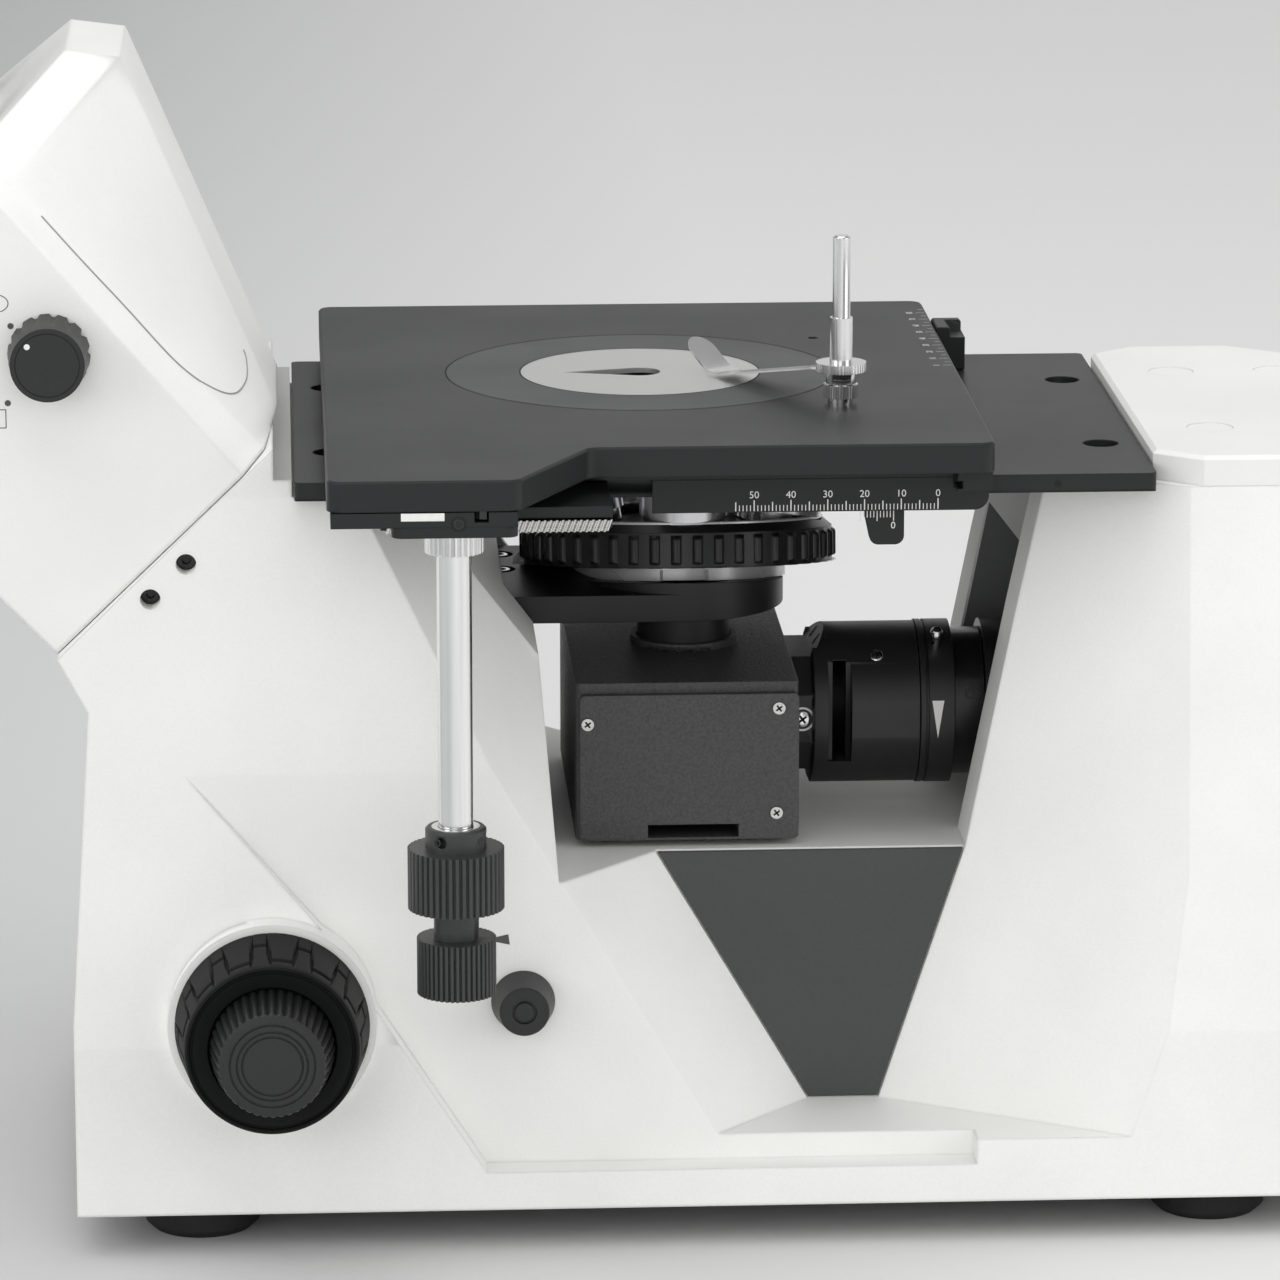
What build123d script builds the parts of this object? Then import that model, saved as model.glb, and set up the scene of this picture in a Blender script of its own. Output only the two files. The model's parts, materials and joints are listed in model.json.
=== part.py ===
from build123d import *
import math
import os

# Inverted reflected-light microscope, in millimetres, +Z up, user side towards -X.
# Places along X are measured from the optical axis; depths are measured down from the stage top.

# Whole instrument
STAGE_TOP = 228.0
FOOT_HEIGHT = 10.0
FACE_GAP = 0.3
RUN_FIT = 0.05
OVERRUN = 2.0
EDGE_BREAK = 0.6
SCREW_R = 1.5
SCREW_HEAD_R = 2.8
SCREW_HEAD_H = 1.6
SOCKET_SHARE = 0.45

# Stage, from the top plate down
PLATE_X = 180.0
PLATE_Y = 208.0
PLATE_T = 8.2
PLATE_CORNER = 4.0
LOBE_X = 50.2
LOBE_REACH = 40.0
LOBE_SLANT = 20.6
REST_X = -12.5
TRAVEL_BACK = 15.0
TRAVEL_FRONT = 35.0
OPENING_R = 55.0
INSERT_T = 3.0
INSERT_LEDGE = 5.0
DISC_R = 34.0
DISC_T = 1.5
DISC_LEDGE = 3.0
DISC_HOLE_R = 5.8
DISC_HOLE_TAIL = 22.0
CLIP_X = 53.0
CLIP_Y = 47.0
CLIP_HOLE_R = 1.5
SLIDE_T = 4.0
SLIDE_X = 178.0
SLIDE_BACK_Y = 84.0
SLIDE_OPENING_X = 139.0
SLIDE_OPENING_Y = 63.0
SLIDE_OPENING_SHIFT = 14.5
APRON_T = 2.4
APRON_DROP = 21.8
APRON_TAIL_H = 6.3
APRON_LEFT = 14.0
APRON_FACE_Y = 87.7
RAIL_W = 9.5
RAIL_NOSE_H = 6.2
RAIL_FRONT_Y = 97.0
RAIL_GROOVE = 1.4
VERNIER_BLOCK_X = 8.6
VERNIER_BLOCK_Y = 15.0
VERNIER_BLOCK_FRONT_Y = 61.0
VERNIER_STEP = 3.0
BASE_PLATE_X = 234.5
BASE_PLATE_LEFT = 110.8
BASE_PLATE_Y = 170.0
BASE_PLATE_T = 5.2
BASE_PLATE_CORNER = 2.0
BASE_OPENING_R = 49.0
BASE_OPENING_Y = 29.0
BOLT_HOLE_R = 5.0
BOLT_HOLE_INSET = 10.5
BOLT_HOLE_Y = 45.0
TAB_LEFT = 42.7
TAB_X = 12.0
TAB_T = 2.6
TAB_DROP = 10.0
TAB_SLANT = 3.0
TAB_CORNER = 2.5
TAB_FOOT_Y = 12.0
BOLT_L = 12.0
RACK_LEFT = 86.8
RACK_X = 59.3
RACK_H = 3.1
RACK_DEPTH = 16.4
RACK_TOOTH = 1.2
RACK_BODY = 3.6
RACK_HELIX_DEG = 20.0
TONGUE_T = 3.1
TONGUE_SEAT_Y = 22.0

# Stage drive: coaxial shaft that hangs from the slide plate
DRIVE_X = 68.9
DRIVE_Y = 128.0
DRIVE_BLOCK_X = 33.2
DRIVE_BLOCK_LEFT = 85.6
DRIVE_BLOCK_H = 7.1
DRIVE_BLOCK_Y = 22.0
DRIVE_BLOCK_CORNER = 3.0
GEAR_R = 7.9
GEAR_TEETH = 29
GEAR_TOOTH = 1.1
GEAR_H = 6.8
GEAR_LAND_SHARE = 0.35
TOOTH_OUTLINE_SHARES = ((0, 0), (0.2, 1), (0.45, 1), (0.65, 0))
SHAFT_R = 4.7
INNER_SHAFT_R = 2.5
SHAFT_END_DEPTH = 97.6
COLLAR_R = 8.2
COLLAR_H = 5.8
COLLAR_SCREWS = 3
UPPER_KNOB_R = 12.95
UPPER_KNOB_H = 16.6
DRIVE_NECK_R = 6.05
DRIVE_NECK_H = 8.3
LOWER_KNOB_R = 10.65
LOWER_KNOB_H = 15.4
KNURL_RIBS = 44
KNURL_DEPTH = 0.7
Y_PINION_R = 5.2
Y_PINION_TEETH = 20
Y_PINION_H = 3.0
Y_RACK_TOOTH = 1.0
Y_RACK_BODY = 2.0
Y_RACK_H = 2.4
Y_RACK_SPARE = 5.0
Y_RACK_INSET = 1.0
MESH_GAP = 0.15

# Specimen clip
CLIP_FOOT_R = 3.5
CLIP_FOOT_H = 1.7
CLIP_RING_R = 4.8
CLIP_RING_H = 3.6
CLIP_NECK_R = 4.2
CLIP_NUT_R = 7.0
CLIP_NUT_DEPTH = 9.0
CLIP_NUT_H = 2.5
CLIP_SLEEVE_R = 3.15
CLIP_SLEEVE_TOP = 24.0
CLIP_PIN_R = 2.45
CLIP_PIN_TOP = 46.8
CLIP_LEAF_W = 9.0
CLIP_LEAF_T = 0.5
CLIP_LEAF_RUN = 53.0
CLIP_BEND_SHARE = 0.9
CLIP_TIP_SHARE = 1.2
CLIP_LEAF_LOW = 1.2
CLIP_LEAF_TIP = 9.0
CLIP_LEAF_DEG = 126.0

# Body casting, side view
BODY_FRONT = 172.8
BODY_NECK_IN = 167.4
BODY_NECK_DEPTH = 75.8
SEAM_TILT = 43.7
SEAM_X = 146.0
SEAM_DEPTH = 33.0
SEAM_HALF = 41.0
PAD_TOP_DEPTH = 13.2
PAD_INNER_X = 111.4
ARM_TOP_INNER = 78.0
ARM_KNEE_X = 43.7
ARM_KNEE_DEPTH = 68.5
ARM_FOOT_X = 39.6
ARM_SHOULDER_X = 60.6
ARM_SHOULDER_DEPTH = 46.0
PLATFORM_DEPTH = 125.0
COLUMN_FOOT_X = 75.5
COLUMN_BEND_X = 88.4
COLUMN_BEND_DEPTH = 59.0
COLUMN_TOP_X = 97.0
COLUMN_BACK_X = 200.0
BODY_BACK_X = 212.0
BODY_BACK_HEIGHT = 70.0
BODY_BACK_BEND_HEIGHT = 98.0

# Body casting, front view and side valleys
HALF_W_TOP = 79.0
HALF_W_LOW = 97.0
FLANK_IN = 7.0
BAND_IN = 9.0
HALF_W_MID = HALF_W_LOW - FLANK_IN
MID_DEPTH = 110.0
LOW_HEIGHT = 60.0
BAND_HALF_W = HALF_W_LOW - BAND_IN
CREASE_X_SHARES = (0.907, 0.602, 0.4815, 0.347)
CREASE_DEPTH_SHARES = (0.333, 0.6, 0.741, 0.9)
VALLEY_HALF_W = 57.0
VALLEY_LEFT_X = 11.5
VALLEY_FLOOR_HEIGHT = 30.0
VALLEY_APEX_X = 44.6
VALLEY_APEX_BELOW = 22.0
VALLEY_FRONT_FLARE = 37.0
VALLEY_REAR_FLARE = 70.0
POCKET_HALF_W = 36.0
POCKET_OPEN_X = 122.0
POCKET_BACK_X = 140.0
POCKET_TOP_DEPTH = 26.0
PANEL_T = 1.6
PANEL_GAP = 0.5
BASE_PLATE_METAL_T = 2.0
BASE_PLATE_INSET = 8.0
FOOT_R = 16.0
FOOT_INSET_X = 34.0
FOOT_INSET_Y = 30.0
CAP_T = 8.4
CAP_LEFT = 124.6
CAP_RIGHT = 200.0
CAP_CHAMFER_X = 12.7
CAP_CHAMFER_Y = 10.2
CAP_REAR_CHAMFER_X = 34.0
CAP_REAR_CHAMFER_Y = 27.0
CAP_PLUG_R = 6.5
CAP_PLUG_H = 1.2
CAP_PLUG_X1 = 144.4
CAP_PLUG_X2 = 175.0
CAP_PLUG_Y = 40.0

# Nosepiece: the turret axis leans back, every objective axis meets it at one point below
TURRET_TILT = 9.7
TURRET_Y = 27.0
RIM_DEPTH = 61.0
RIM_R = 45.8
RIM_H = 10.0
RIM_RIBS = 46
RIM_RIB_DEPTH = 1.3
RIM_BEVEL_H = 2.6
RIM_BEVEL_R = 41.5
DOME_R = 39.5
PARFOCAL = 45.0
OBJECTIVES = 5
OBJECTIVE_LENGTHS = (33.5, 32.5, 29.0, 26.0, 24.0)
OBJECTIVE_FLANGE_R = 11.5
OBJECTIVE_FLANGE_H = 3.5
OBJECTIVE_BODY_R = 12.6
OBJECTIVE_NOSE_R = 6.4
OBJECTIVE_TAPER_R = 8.6
OBJECTIVE_NOSE_SHARE = 0.78
OBJECTIVE_SHOULDER_SHARE = 0.58
FRONT_LENS_R = 2.6
OBJECTIVE_THREAD_R = 10.1
OBJECTIVE_THREAD_H = 4.5
FLANGE_PLATE_R = 31.0
FLANGE_PLATE_T = 4.4
RIM_GAP = 0.9
NOTCH_W = 14.0
NOTCH_DEEP = 3.0
BOSS_R = 29.5
BOSS_Y = 14.5
BRACKET_TOP_DEPTH = 61.6
BRACKET_T = 7.8
BRACKET_FOOT_DEPTH = BRACKET_TOP_DEPTH + BRACKET_T
BRACKET_NEAR_Y = 15.0
BRACKET_FAR_Y = 51.0
BRACKET_SCREW_X = 51.6
BRACKET_SCREW_NEAR_Y = 20.3
BRACKET_SCREW_FAR_Y = 39.7
BRACKET_SCREW_BORE_R = 4.4
BRACKET_SCREW_HEAD_R = 2.95
TUBE_R = 13.2
TUBE_BORE_R = 11.0
TUBE_COLLAR_R = 15.3
TUBE_COLLAR_H = 2.0
TUBE_DIP = 3.1

# Focus slide inside the front arm
FOCUS_UP = 2.5
FOCUS_DOWN = 3.5
CHAMBER_BACK_X = 101.0
CHAMBER_FRONT_X = 62.0
CHAMBER_NEAR_Y = 15.5
CHAMBER_FAR_Y = 60.0
CHAMBER_TOP_DEPTH = 52.0
CHAMBER_FOOT_DEPTH = 100.0
SLIDE_BLOCK_X = 14.0
SLIDE_BLOCK_GAP = 1.5
GUIDE_PLATE_X = 6.5
DOVETAIL_W = 18.0
DOVETAIL_D = 5.0
DOVETAIL_SLANT = 3.0

# Beam-splitter box under the nosepiece
BOX_LEFT = 33.2
BOX_RIGHT = 29.0
BOX_FRONT_Y = 53.5
BOX_BACK_Y = 50.0
BRACKET_BOX_GAP = 8.7
BOX_TOP_DEPTH = BRACKET_FOOT_DEPTH + BRACKET_BOX_GAP
BOX_FOOT_DEPTH = 122.9
BOX_WALL = 3.0
BOX_CORNER = 1.5
COVER_T = 2.2
COVER_SIDE_GAP = 1.0
COVER_SCREW_R = 1.75
COVER_SCREW_H = 0.8
COVER_SCREW_LEFT_IN = 3.2
COVER_SCREW_RIGHT_IN = 5.6
COVER_SCREW_FOOT_IN = 6.2
COVER_SCREW_LEFT_DROP = 11.2
COVER_SCREW_RIGHT_DROP = 7.2
COVER_SCREW_RISE = 7.5
COVER_SCREW_PLACES = ((-BOX_LEFT + COVER_SCREW_LEFT_IN, BOX_TOP_DEPTH + COVER_SCREW_LEFT_DROP),
                      (BOX_RIGHT - COVER_SCREW_RIGHT_IN, BOX_TOP_DEPTH + COVER_SCREW_RIGHT_DROP),
                      (BOX_RIGHT - COVER_SCREW_FOOT_IN, BOX_FOOT_DEPTH - COVER_SCREW_RISE))
SLOT_LEFT = 13.2
SLOT_X = 25.4
SLOT_TOP_DEPTH = 118.5
SLOT_H = 3.7
MIRROR_SIDE = 24.0
MIRROR_T = 2.0

# Illuminator on the beam-splitter box, axis along X
LIGHT_DEPTH = 97.0
LIGHT_BLOCK_FACE_X = 36.0
LIGHT_BLOCK_HALF = 20.5
LIGHT_BLOCK_FLAT = 6.8
LIGHT_BLOCK_CREST = 13.0
LIGHT_BLOCK_FOOT = 16.5
LIGHT_SHOULDER_R = 21.5
LIGHT_FLAT_DEEP = 0.5
SLIT_X = 40.0
SLIT_W = 6.6
SLIT_TOP = 16.0
SLIT_FOOT = 13.0
LIGHT_BODY_R = 23.0
LIGHT_BODY_FACE_X = 66.0
FIELD_RING_R = 23.4
FIELD_RING_W = 9.6
FIELD_RING_GAP = 0.25
LEVER_R = 1.2
LEVER_L = 5.5
LEVER_BALL_R = 1.9
FIELD_LEVER_TURN = 215.0
APERTURE_LEVER_TURN = 262.0
LIGHT_TUBE_R = 21.0
LIGHT_TUBE_FACE_X = 84.6
REAR_RING_R = 23.4
REAR_RING_L = 9.0
LIGHT_BORE_R = 15.0
APERTURE_RING_GAP = 0.25
CONDENSER_T = 6.0

# Lamp house on the back of the column
HOUSE_MOUNT_R = 27.0
HOUSE_MOUNT_L = 14.0
HOUSE_X = 84.0
HOUSE_HALF_Y = 46.0
HOUSE_H = 104.0
HOUSE_CORNER = 8.0
HOUSE_WALL = 3.0
HOUSE_FIN_COUNT = 9
HOUSE_FIN_W = 3.2
HOUSE_FIN_DEEP = 4.0
HOUSE_FIN_MARGIN = 14.0
LAMP_R = 5.5
LAMP_L = 20.0
LAMP_SOCKET_SIDE = 22.0
COLLECTOR_R = 16.0
COLLECTOR_T = 9.0

# Focus knobs, both sides of the body
FOCUS_X = 118.6
FOCUS_DEPTH = 161.0
FOCUS_BOSS_R = 28.5
KNOB_SEAT_RISE = 3.0
KNOB_SEAT_Y = HALF_W_LOW + KNOB_SEAT_RISE
TENSION_RING_R = 27.5
COARSE_ROOT_R = 26.7
COARSE_FACE_R = 23.6
COARSE_W = 23.3
COARSE_NOTCHES = 12
COARSE_NOTCH_DEEP = 0.9
FINE_ROOT_R = 17.0
FINE_FACE_R = 14.5
FINE_W = 13.7
FINE_RIBS = 32
FINE_RIB_DEPTH = 0.8
FINE_FACE_GROOVES = (11.7, 9.8, 8.4)
GROOVE_W = 0.8
COARSE_SHAFT_R = 7.0
FINE_SHAFT_R = 3.5
TENSION_RING_W = 6.7

# Brightness knob, side ports and rear panel
DIMMER_X = 49.6
DIMMER_DEPTH = 158.7
DIMMER_ROOT_R = 8.8
DIMMER_FACE_R = 6.8
DIMMER_L = 10.5
DIMMER_CAP_R = 2.6
REAR_PANEL_W = 64.0
REAR_PANEL_H = 34.0
REAR_PANEL_T = 1.5
REAR_PANEL_HEIGHT = 44.0
INLET_W = 24.0
INLET_H = 20.0
INLET_DEEP = 14.0
INLET_PIN_R = 1.2
ROCKER_W = 13.0
ROCKER_H = 19.0
ROCKER_T = 5.0
ROCKER_CROWN = 2.2
ROCKER_GAP = 1.2
ROCKER_PIN_R = 1.0
ROCKER_PIN_IN = 2.5
ROCKER_EAR_T = 1.6
ROCKER_EAR_H = 6.0

# Binocular head, in its own frame: up the beam from the middle of the seam
HEAD_HALF_W = 78.0
HEAD_BEVEL_W = 8.0
HEAD_RIDGE_HALF_W = 30.0
HEAD_SIDE_LOW = 30.0
HEAD_SIDE_HIGH = 35.0
HEAD_BEVEL_LOW = 38.0
HEAD_BEVEL_HIGH = 41.0
HEAD_RIDGE_LOW = 43.2
HEAD_RIDGE_HIGH = 81.0
HEAD_BODY_L = 100.0
HEAD_FACE_L = 112.0
HEAD_FACE_INSET_SHARE = 0.88
HEAD_AXIS = 8.0
HEAD_BORE_R = 17.0
HINGE_R = 36.0
PIVOT_R = 14.5
HUB_R = 19.5
EYE_BAR_W = 24.0
HINGE_UP = 6.0
EYE_ARM_R = 38.0
EYE_ARM_T = 9.0
EYE_HALF_SPACING = 31.5
EYE_BLOCK_R = 18.0
EYE_BLOCK_L = 30.0
EYE_TUBE_R = 17.0
EYE_TUBE_L = 26.0
EYEPIECE_R = 15.0
EYEPIECE_FLANGE_R = 18.5
EYEPIECE_FLANGE_L = 10.0
EYEPIECE_TOP_R = 16.0
EYEPIECE_TOP_L = 12.0
EYEPIECE_DIP = 22.0
EYE_LENS_R = 11.0
EYECUP_R = 17.5
EYECUP_L = 9.0
EYECUP_WALL = 1.4
DIOPTER_R = 19.0
DIOPTER_L = 9.0
PATH_KNOB_ALONG = 60.6
PATH_KNOB_ACROSS = 16.2
PATH_KNOB_R = 11.2
PATH_KNOB_FACE_R = 10.0
PATH_KNOB_L = 16.0
PATH_KNOB_RIBS = 14
PATH_KNOB_RIB_DEPTH = 0.9
SEAM_SCREW_BELOW = 6.0
SEAM_SCREWS_ACROSS = (2.2, -11.4)
SEAM_SCREW_R = 2.8
SEAM_SCREW_DEEP = 6.0

# Light path and power inside the base
PATH_HEIGHT = 42.0
PATH_BORE_R = 13.0
BASE_POCKET_HALF_W = 40.0
BASE_POCKET_TOP = 72.0
BASE_POCKET_FRONT = 40.0
BASE_POCKET_BACK = 30.0
FOLD_MIRROR_W = 34.0
TUBE_LENS_T = 7.0
TUBE_LENS_UP = 70.0
LENS_CELL_WALL = 1.5
POWER_POCKET_FRONT = 62.0
POWER_POCKET_BACK = 188.0
SUPPLY_X = 92.0
SUPPLY_Y = 58.0
SUPPLY_H = 32.0
BOARD_T = 1.6

PARTS = {}
FRAME_TOP = STAGE_TOP - PLATE_T - FACE_GAP - SLIDE_T - FACE_GAP - BASE_PLATE_T
PLATFORM_Z = STAGE_TOP - PLATFORM_DEPTH
BASE_Z = FOOT_HEIGHT + BASE_PLATE_METAL_T
LIGHT_Z = STAGE_TOP - LIGHT_DEPTH
FOCUS_Z = STAGE_TOP - FOCUS_DEPTH


def add(name, *solids):
    """Collect the solids of one sub-part, or of several alike, under one name."""
    PARTS.setdefault(name, []).extend(piece for shape in solids for piece in shape.solids())


def block(x, y, z):
    """Box between two places along each axis."""
    size = (x[1] - x[0], y[1] - y[0], z[1] - z[0])
    return Pos(x[0], y[0], z[0]) * Box(*size, align=Align.MIN)


def rod(radius, low, high):
    """Round bar along Z from low to high."""
    return Pos(0, 0, low) * Cylinder(radius, high - low, align=(Align.CENTER, Align.CENTER, Align.MIN))


def cone(root, tip, low, high):
    """Tapered round bar along Z."""
    return Pos(0, 0, low) * Cone(root, tip, high - low, align=(Align.CENTER, Align.CENTER, Align.MIN))


def pipe(outer, inner, low, high):
    """Round tube along Z."""
    return rod(outer, low, high) - rod(inner, low - OVERRUN, high + OVERRUN)


def along_x(y, z):
    """Turn a bar along Z so that it lies along +X through y, z."""
    return Pos(0, y, z) * Rot(0, 90, 0)


def along_y(x, z, way=1):
    """Turn a bar along Z so that it points along +Y, or -Y for way -1."""
    return Pos(x, 0, z) * Rot(-90 * way, 0, 0)


def side_plate(points, near, far):
    """Plate with an outline in X and Z, between two places along Y."""
    outline = Face(Wire.make_polygon([(x, near, z) for x, z in points], close=True))
    return extrude(outline, amount=far - near, dir=(0, 1, 0))


def flat_plate(points, low, high):
    """Plate with an outline in X and Y, between two heights."""
    outline = Face(Wire.make_polygon([(x, y, low) for x, y in points], close=True))
    return extrude(outline, amount=high - low, dir=(0, 0, 1))


def front_plate(points, near, far):
    """Plate with an outline in Y and Z, between two places along X."""
    outline = Face(Wire.make_polygon([(near, y, z) for y, z in points], close=True))
    return extrude(outline, amount=far - near, dir=(1, 0, 0))


def turned(points):
    """Solid of revolution about Z from an outline of radius and height."""
    outline = Face(Wire.make_polygon([(r, 0, z) for r, z in points], close=True))
    return revolve(outline, Axis.Z, 360)


def ribbed(radius, depth, count, low, high, land_share=0.5):
    """Bar along Z with straight ribs round it, each with sloping flanks."""
    pitch = 2 * math.pi / count
    points = []
    for rib in range(count):
        for place, reach in ((-land_share / 2, radius), (land_share / 2, radius),
                             (0.5 - land_share / 8, radius - depth), (0.5 + land_share / 8, radius - depth)):
            turn = (rib + place) * pitch
            points.append((reach * math.cos(turn), reach * math.sin(turn)))
    return flat_plate(points, low, high)


def rounded_slab(x, y, z, corner):
    """Flat plate with rounded vertical corners."""
    slab = block(x, y, z)
    return fillet(slab.edges().filter_by(Axis.Z), corner)


def cap_screw(radius, head_r, head_h, length):
    """Socket screw with its head's foot at zero, pointing up."""
    socket = rod(head_r * SOCKET_SHARE, head_h * SOCKET_SHARE, head_h + OVERRUN)
    return rod(radius, -length, head_h * SOCKET_SHARE) + rod(head_r, 0, head_h) - socket



def mating_teeth(length, wheel_r, tooth, wheel_teeth):
    """Whole teeth of a rack whose pitch is as near as can be to that of the wheel that rolls on it."""
    pitch = 2 * math.pi * (wheel_r - tooth / 2) / wheel_teeth
    return round(length / pitch)


def toothed_bar(length, tooth, body, height, teeth, helix_deg):
    """Rack along X from zero, back at +Y, teeth towards -Y, leaning along X by the helix."""
    pitch = length / teeth
    points = [(length, body), (0, body)]
    for index in range(teeth):
        start = index * pitch
        points += [(start + pitch * along, -tooth * out) for along, out in TOOTH_OUTLINE_SHARES]
    points.append((length, 0))
    outline = Face(Wire.make_polygon([(x, y, 0) for x, y in points], close=True))
    lean = math.radians(helix_deg)
    return extrude(outline, amount=height / math.cos(lean), dir=(math.sin(lean), 0, math.cos(lean)))


def make_top_plate(low):
    """Top plate with its lobe, insert opening and clip holes, and the rack under the lobe."""
    left = REST_X - PLATE_X / 2
    right = REST_X + PLATE_X / 2
    half_y = PLATE_Y / 2
    lobe_right = left + LOBE_X
    outline = [(left, half_y), (left, -half_y - LOBE_REACH), (lobe_right, -half_y - LOBE_REACH),
               (lobe_right + LOBE_SLANT, -half_y), (right, -half_y), (right, half_y)]
    plate = flat_plate(outline, low, STAGE_TOP)
    plate = fillet(plate.edges().filter_by(Axis.Z), PLATE_CORNER)
    plate = chamfer(plate.faces().sort_by(Axis.Z)[-1].edges(), EDGE_BREAK)
    centre = Pos(REST_X, 0, 0)
    plate -= centre * rod(OPENING_R, STAGE_TOP - INSERT_T, STAGE_TOP + OVERRUN)
    plate -= centre * rod(OPENING_R - INSERT_LEDGE, low - OVERRUN, STAGE_TOP)
    for side in (-1, 1):
        plate -= Pos(REST_X + CLIP_X, side * CLIP_Y, 0) * rod(CLIP_HOLE_R, low - OVERRUN, STAGE_TOP + OVERRUN)
    add("stage_top_plate", plate)

    rack_l = TRAVEL_BACK + TRAVEL_FRONT + Y_RACK_SPARE
    teeth = mating_teeth(rack_l, Y_PINION_R, Y_RACK_TOOTH, Y_PINION_TEETH)
    rack = toothed_bar(rack_l, Y_RACK_TOOTH, Y_RACK_BODY, Y_RACK_H, teeth, 0)
    place = Pos(-DRIVE_X + Y_PINION_R + MESH_GAP + Y_RACK_TOOTH, -half_y - LOBE_REACH + Y_RACK_INSET + rack_l,
                low - Y_RACK_H)
    add("y_rack", place * Rot(0, 0, -90) * rack)


def make_insert():
    """Ring in the top plate and the steel disc in the ring, with its drop-shaped hole."""
    centre = Pos(REST_X, 0, 0)
    ring = rod(OPENING_R - RUN_FIT, STAGE_TOP - INSERT_T, STAGE_TOP)
    ring -= rod(DISC_R, STAGE_TOP - DISC_T, STAGE_TOP + OVERRUN)
    ring -= rod(DISC_R - DISC_LEDGE, STAGE_TOP - INSERT_T - OVERRUN, STAGE_TOP)
    add("insert_ring", centre * ring)
    reach = DISC_HOLE_R ** 2 / DISC_HOLE_TAIL
    touch = math.sqrt(DISC_HOLE_R ** 2 - reach ** 2)
    span = (STAGE_TOP - DISC_T - OVERRUN, STAGE_TOP + OVERRUN)
    hole = rod(DISC_HOLE_R, *span)
    hole += flat_plate([(-reach, touch), (-DISC_HOLE_TAIL, 0), (-reach, -touch)], *span)
    add("insert_disc", centre * (rod(DISC_R - RUN_FIT, STAGE_TOP - DISC_T, STAGE_TOP) - hole))


def make_slide_plate(high):
    """Plate that slides along X on the fixed plate, with its rail, scale bar and vernier block."""
    low = high - SLIDE_T
    left = REST_X - SLIDE_X / 2
    right = REST_X + PLATE_X / 2
    rail_left = right - RAIL_W
    bridge_right = DRIVE_BLOCK_X - DRIVE_BLOCK_LEFT
    front = -PLATE_Y / 2 - LOBE_REACH
    outline = [(left, SLIDE_BACK_Y), (left, front), (bridge_right, front), (bridge_right, -APRON_FACE_Y),
               (rail_left, -APRON_FACE_Y), (rail_left, SLIDE_BACK_Y)]
    plate = flat_plate(outline, low, high)
    near = SLIDE_OPENING_SHIFT - SLIDE_OPENING_Y / 2
    span = (low - OVERRUN, high + OVERRUN)
    plate -= rounded_slab((REST_X - SLIDE_OPENING_X / 2, REST_X + SLIDE_OPENING_X / 2),
                          (near, near + SLIDE_OPENING_Y), span, SLIDE_OPENING_Y / 3)
    pinion = Pos(-DRIVE_X, -DRIVE_Y, 0)
    plate -= pinion * rod(Y_PINION_R + FACE_GAP, *span)
    rack_side = -DRIVE_X + Y_PINION_R
    plate -= block((rack_side - MESH_GAP, rack_side + Y_RACK_TOOTH + Y_RACK_BODY + FACE_GAP * 2),
                   (front - OVERRUN, -DRIVE_Y + TRAVEL_BACK + TRAVEL_FRONT + Y_RACK_SPARE),
                   (high - Y_RACK_H - FACE_GAP, high + OVERRUN))
    add("slide_plate", plate)

    rail = block((rail_left, right), (-RAIL_FRONT_Y, RAIL_FRONT_Y), (low, high))
    rail += block((rail_left, right), (-RAIL_FRONT_Y, -APRON_FACE_Y - FACE_GAP), (high - RAIL_NOSE_H, high))
    rail -= block((rail_left - OVERRUN, rail_left + RAIL_GROOVE), (-RAIL_FRONT_Y - OVERRUN, -APRON_FACE_Y),
                  (low - RAIL_GROOVE, low + RAIL_GROOVE / 2))
    add("y_guide_rail", rail)

    foot = STAGE_TOP - APRON_DROP
    face = (-APRON_FACE_Y, -APRON_FACE_Y + APRON_T)
    bar = block((-APRON_LEFT, rail_left), face, (foot, low))
    tail = block((rail_left - PLATE_CORNER, right), face, (foot, foot + APRON_TAIL_H))
    tail = fillet(tail.edges().filter_by(Axis.Y).sort_by(Axis.Z)[:2].sort_by(Axis.X)[-1:], PLATE_CORNER)
    add("x_scale_bar", bar + tail)

    side = right + FACE_GAP
    near = VERNIER_BLOCK_FRONT_Y
    far = near + VERNIER_BLOCK_Y
    body = block((side, side + VERNIER_BLOCK_X), (near, far), (low, STAGE_TOP))
    body += block((right, side), (near, far), (low, high))
    body -= block((side + VERNIER_BLOCK_X / 2, side + VERNIER_BLOCK_X + OVERRUN),
                  (near - OVERRUN, far - VERNIER_STEP),
                  (STAGE_TOP - VERNIER_STEP, STAGE_TOP + OVERRUN))
    body = chamfer(body.faces().sort_by(Axis.Z)[-1].edges().filter_by(Axis.Y), EDGE_BREAK)
    add("y_vernier_block", body)


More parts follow.
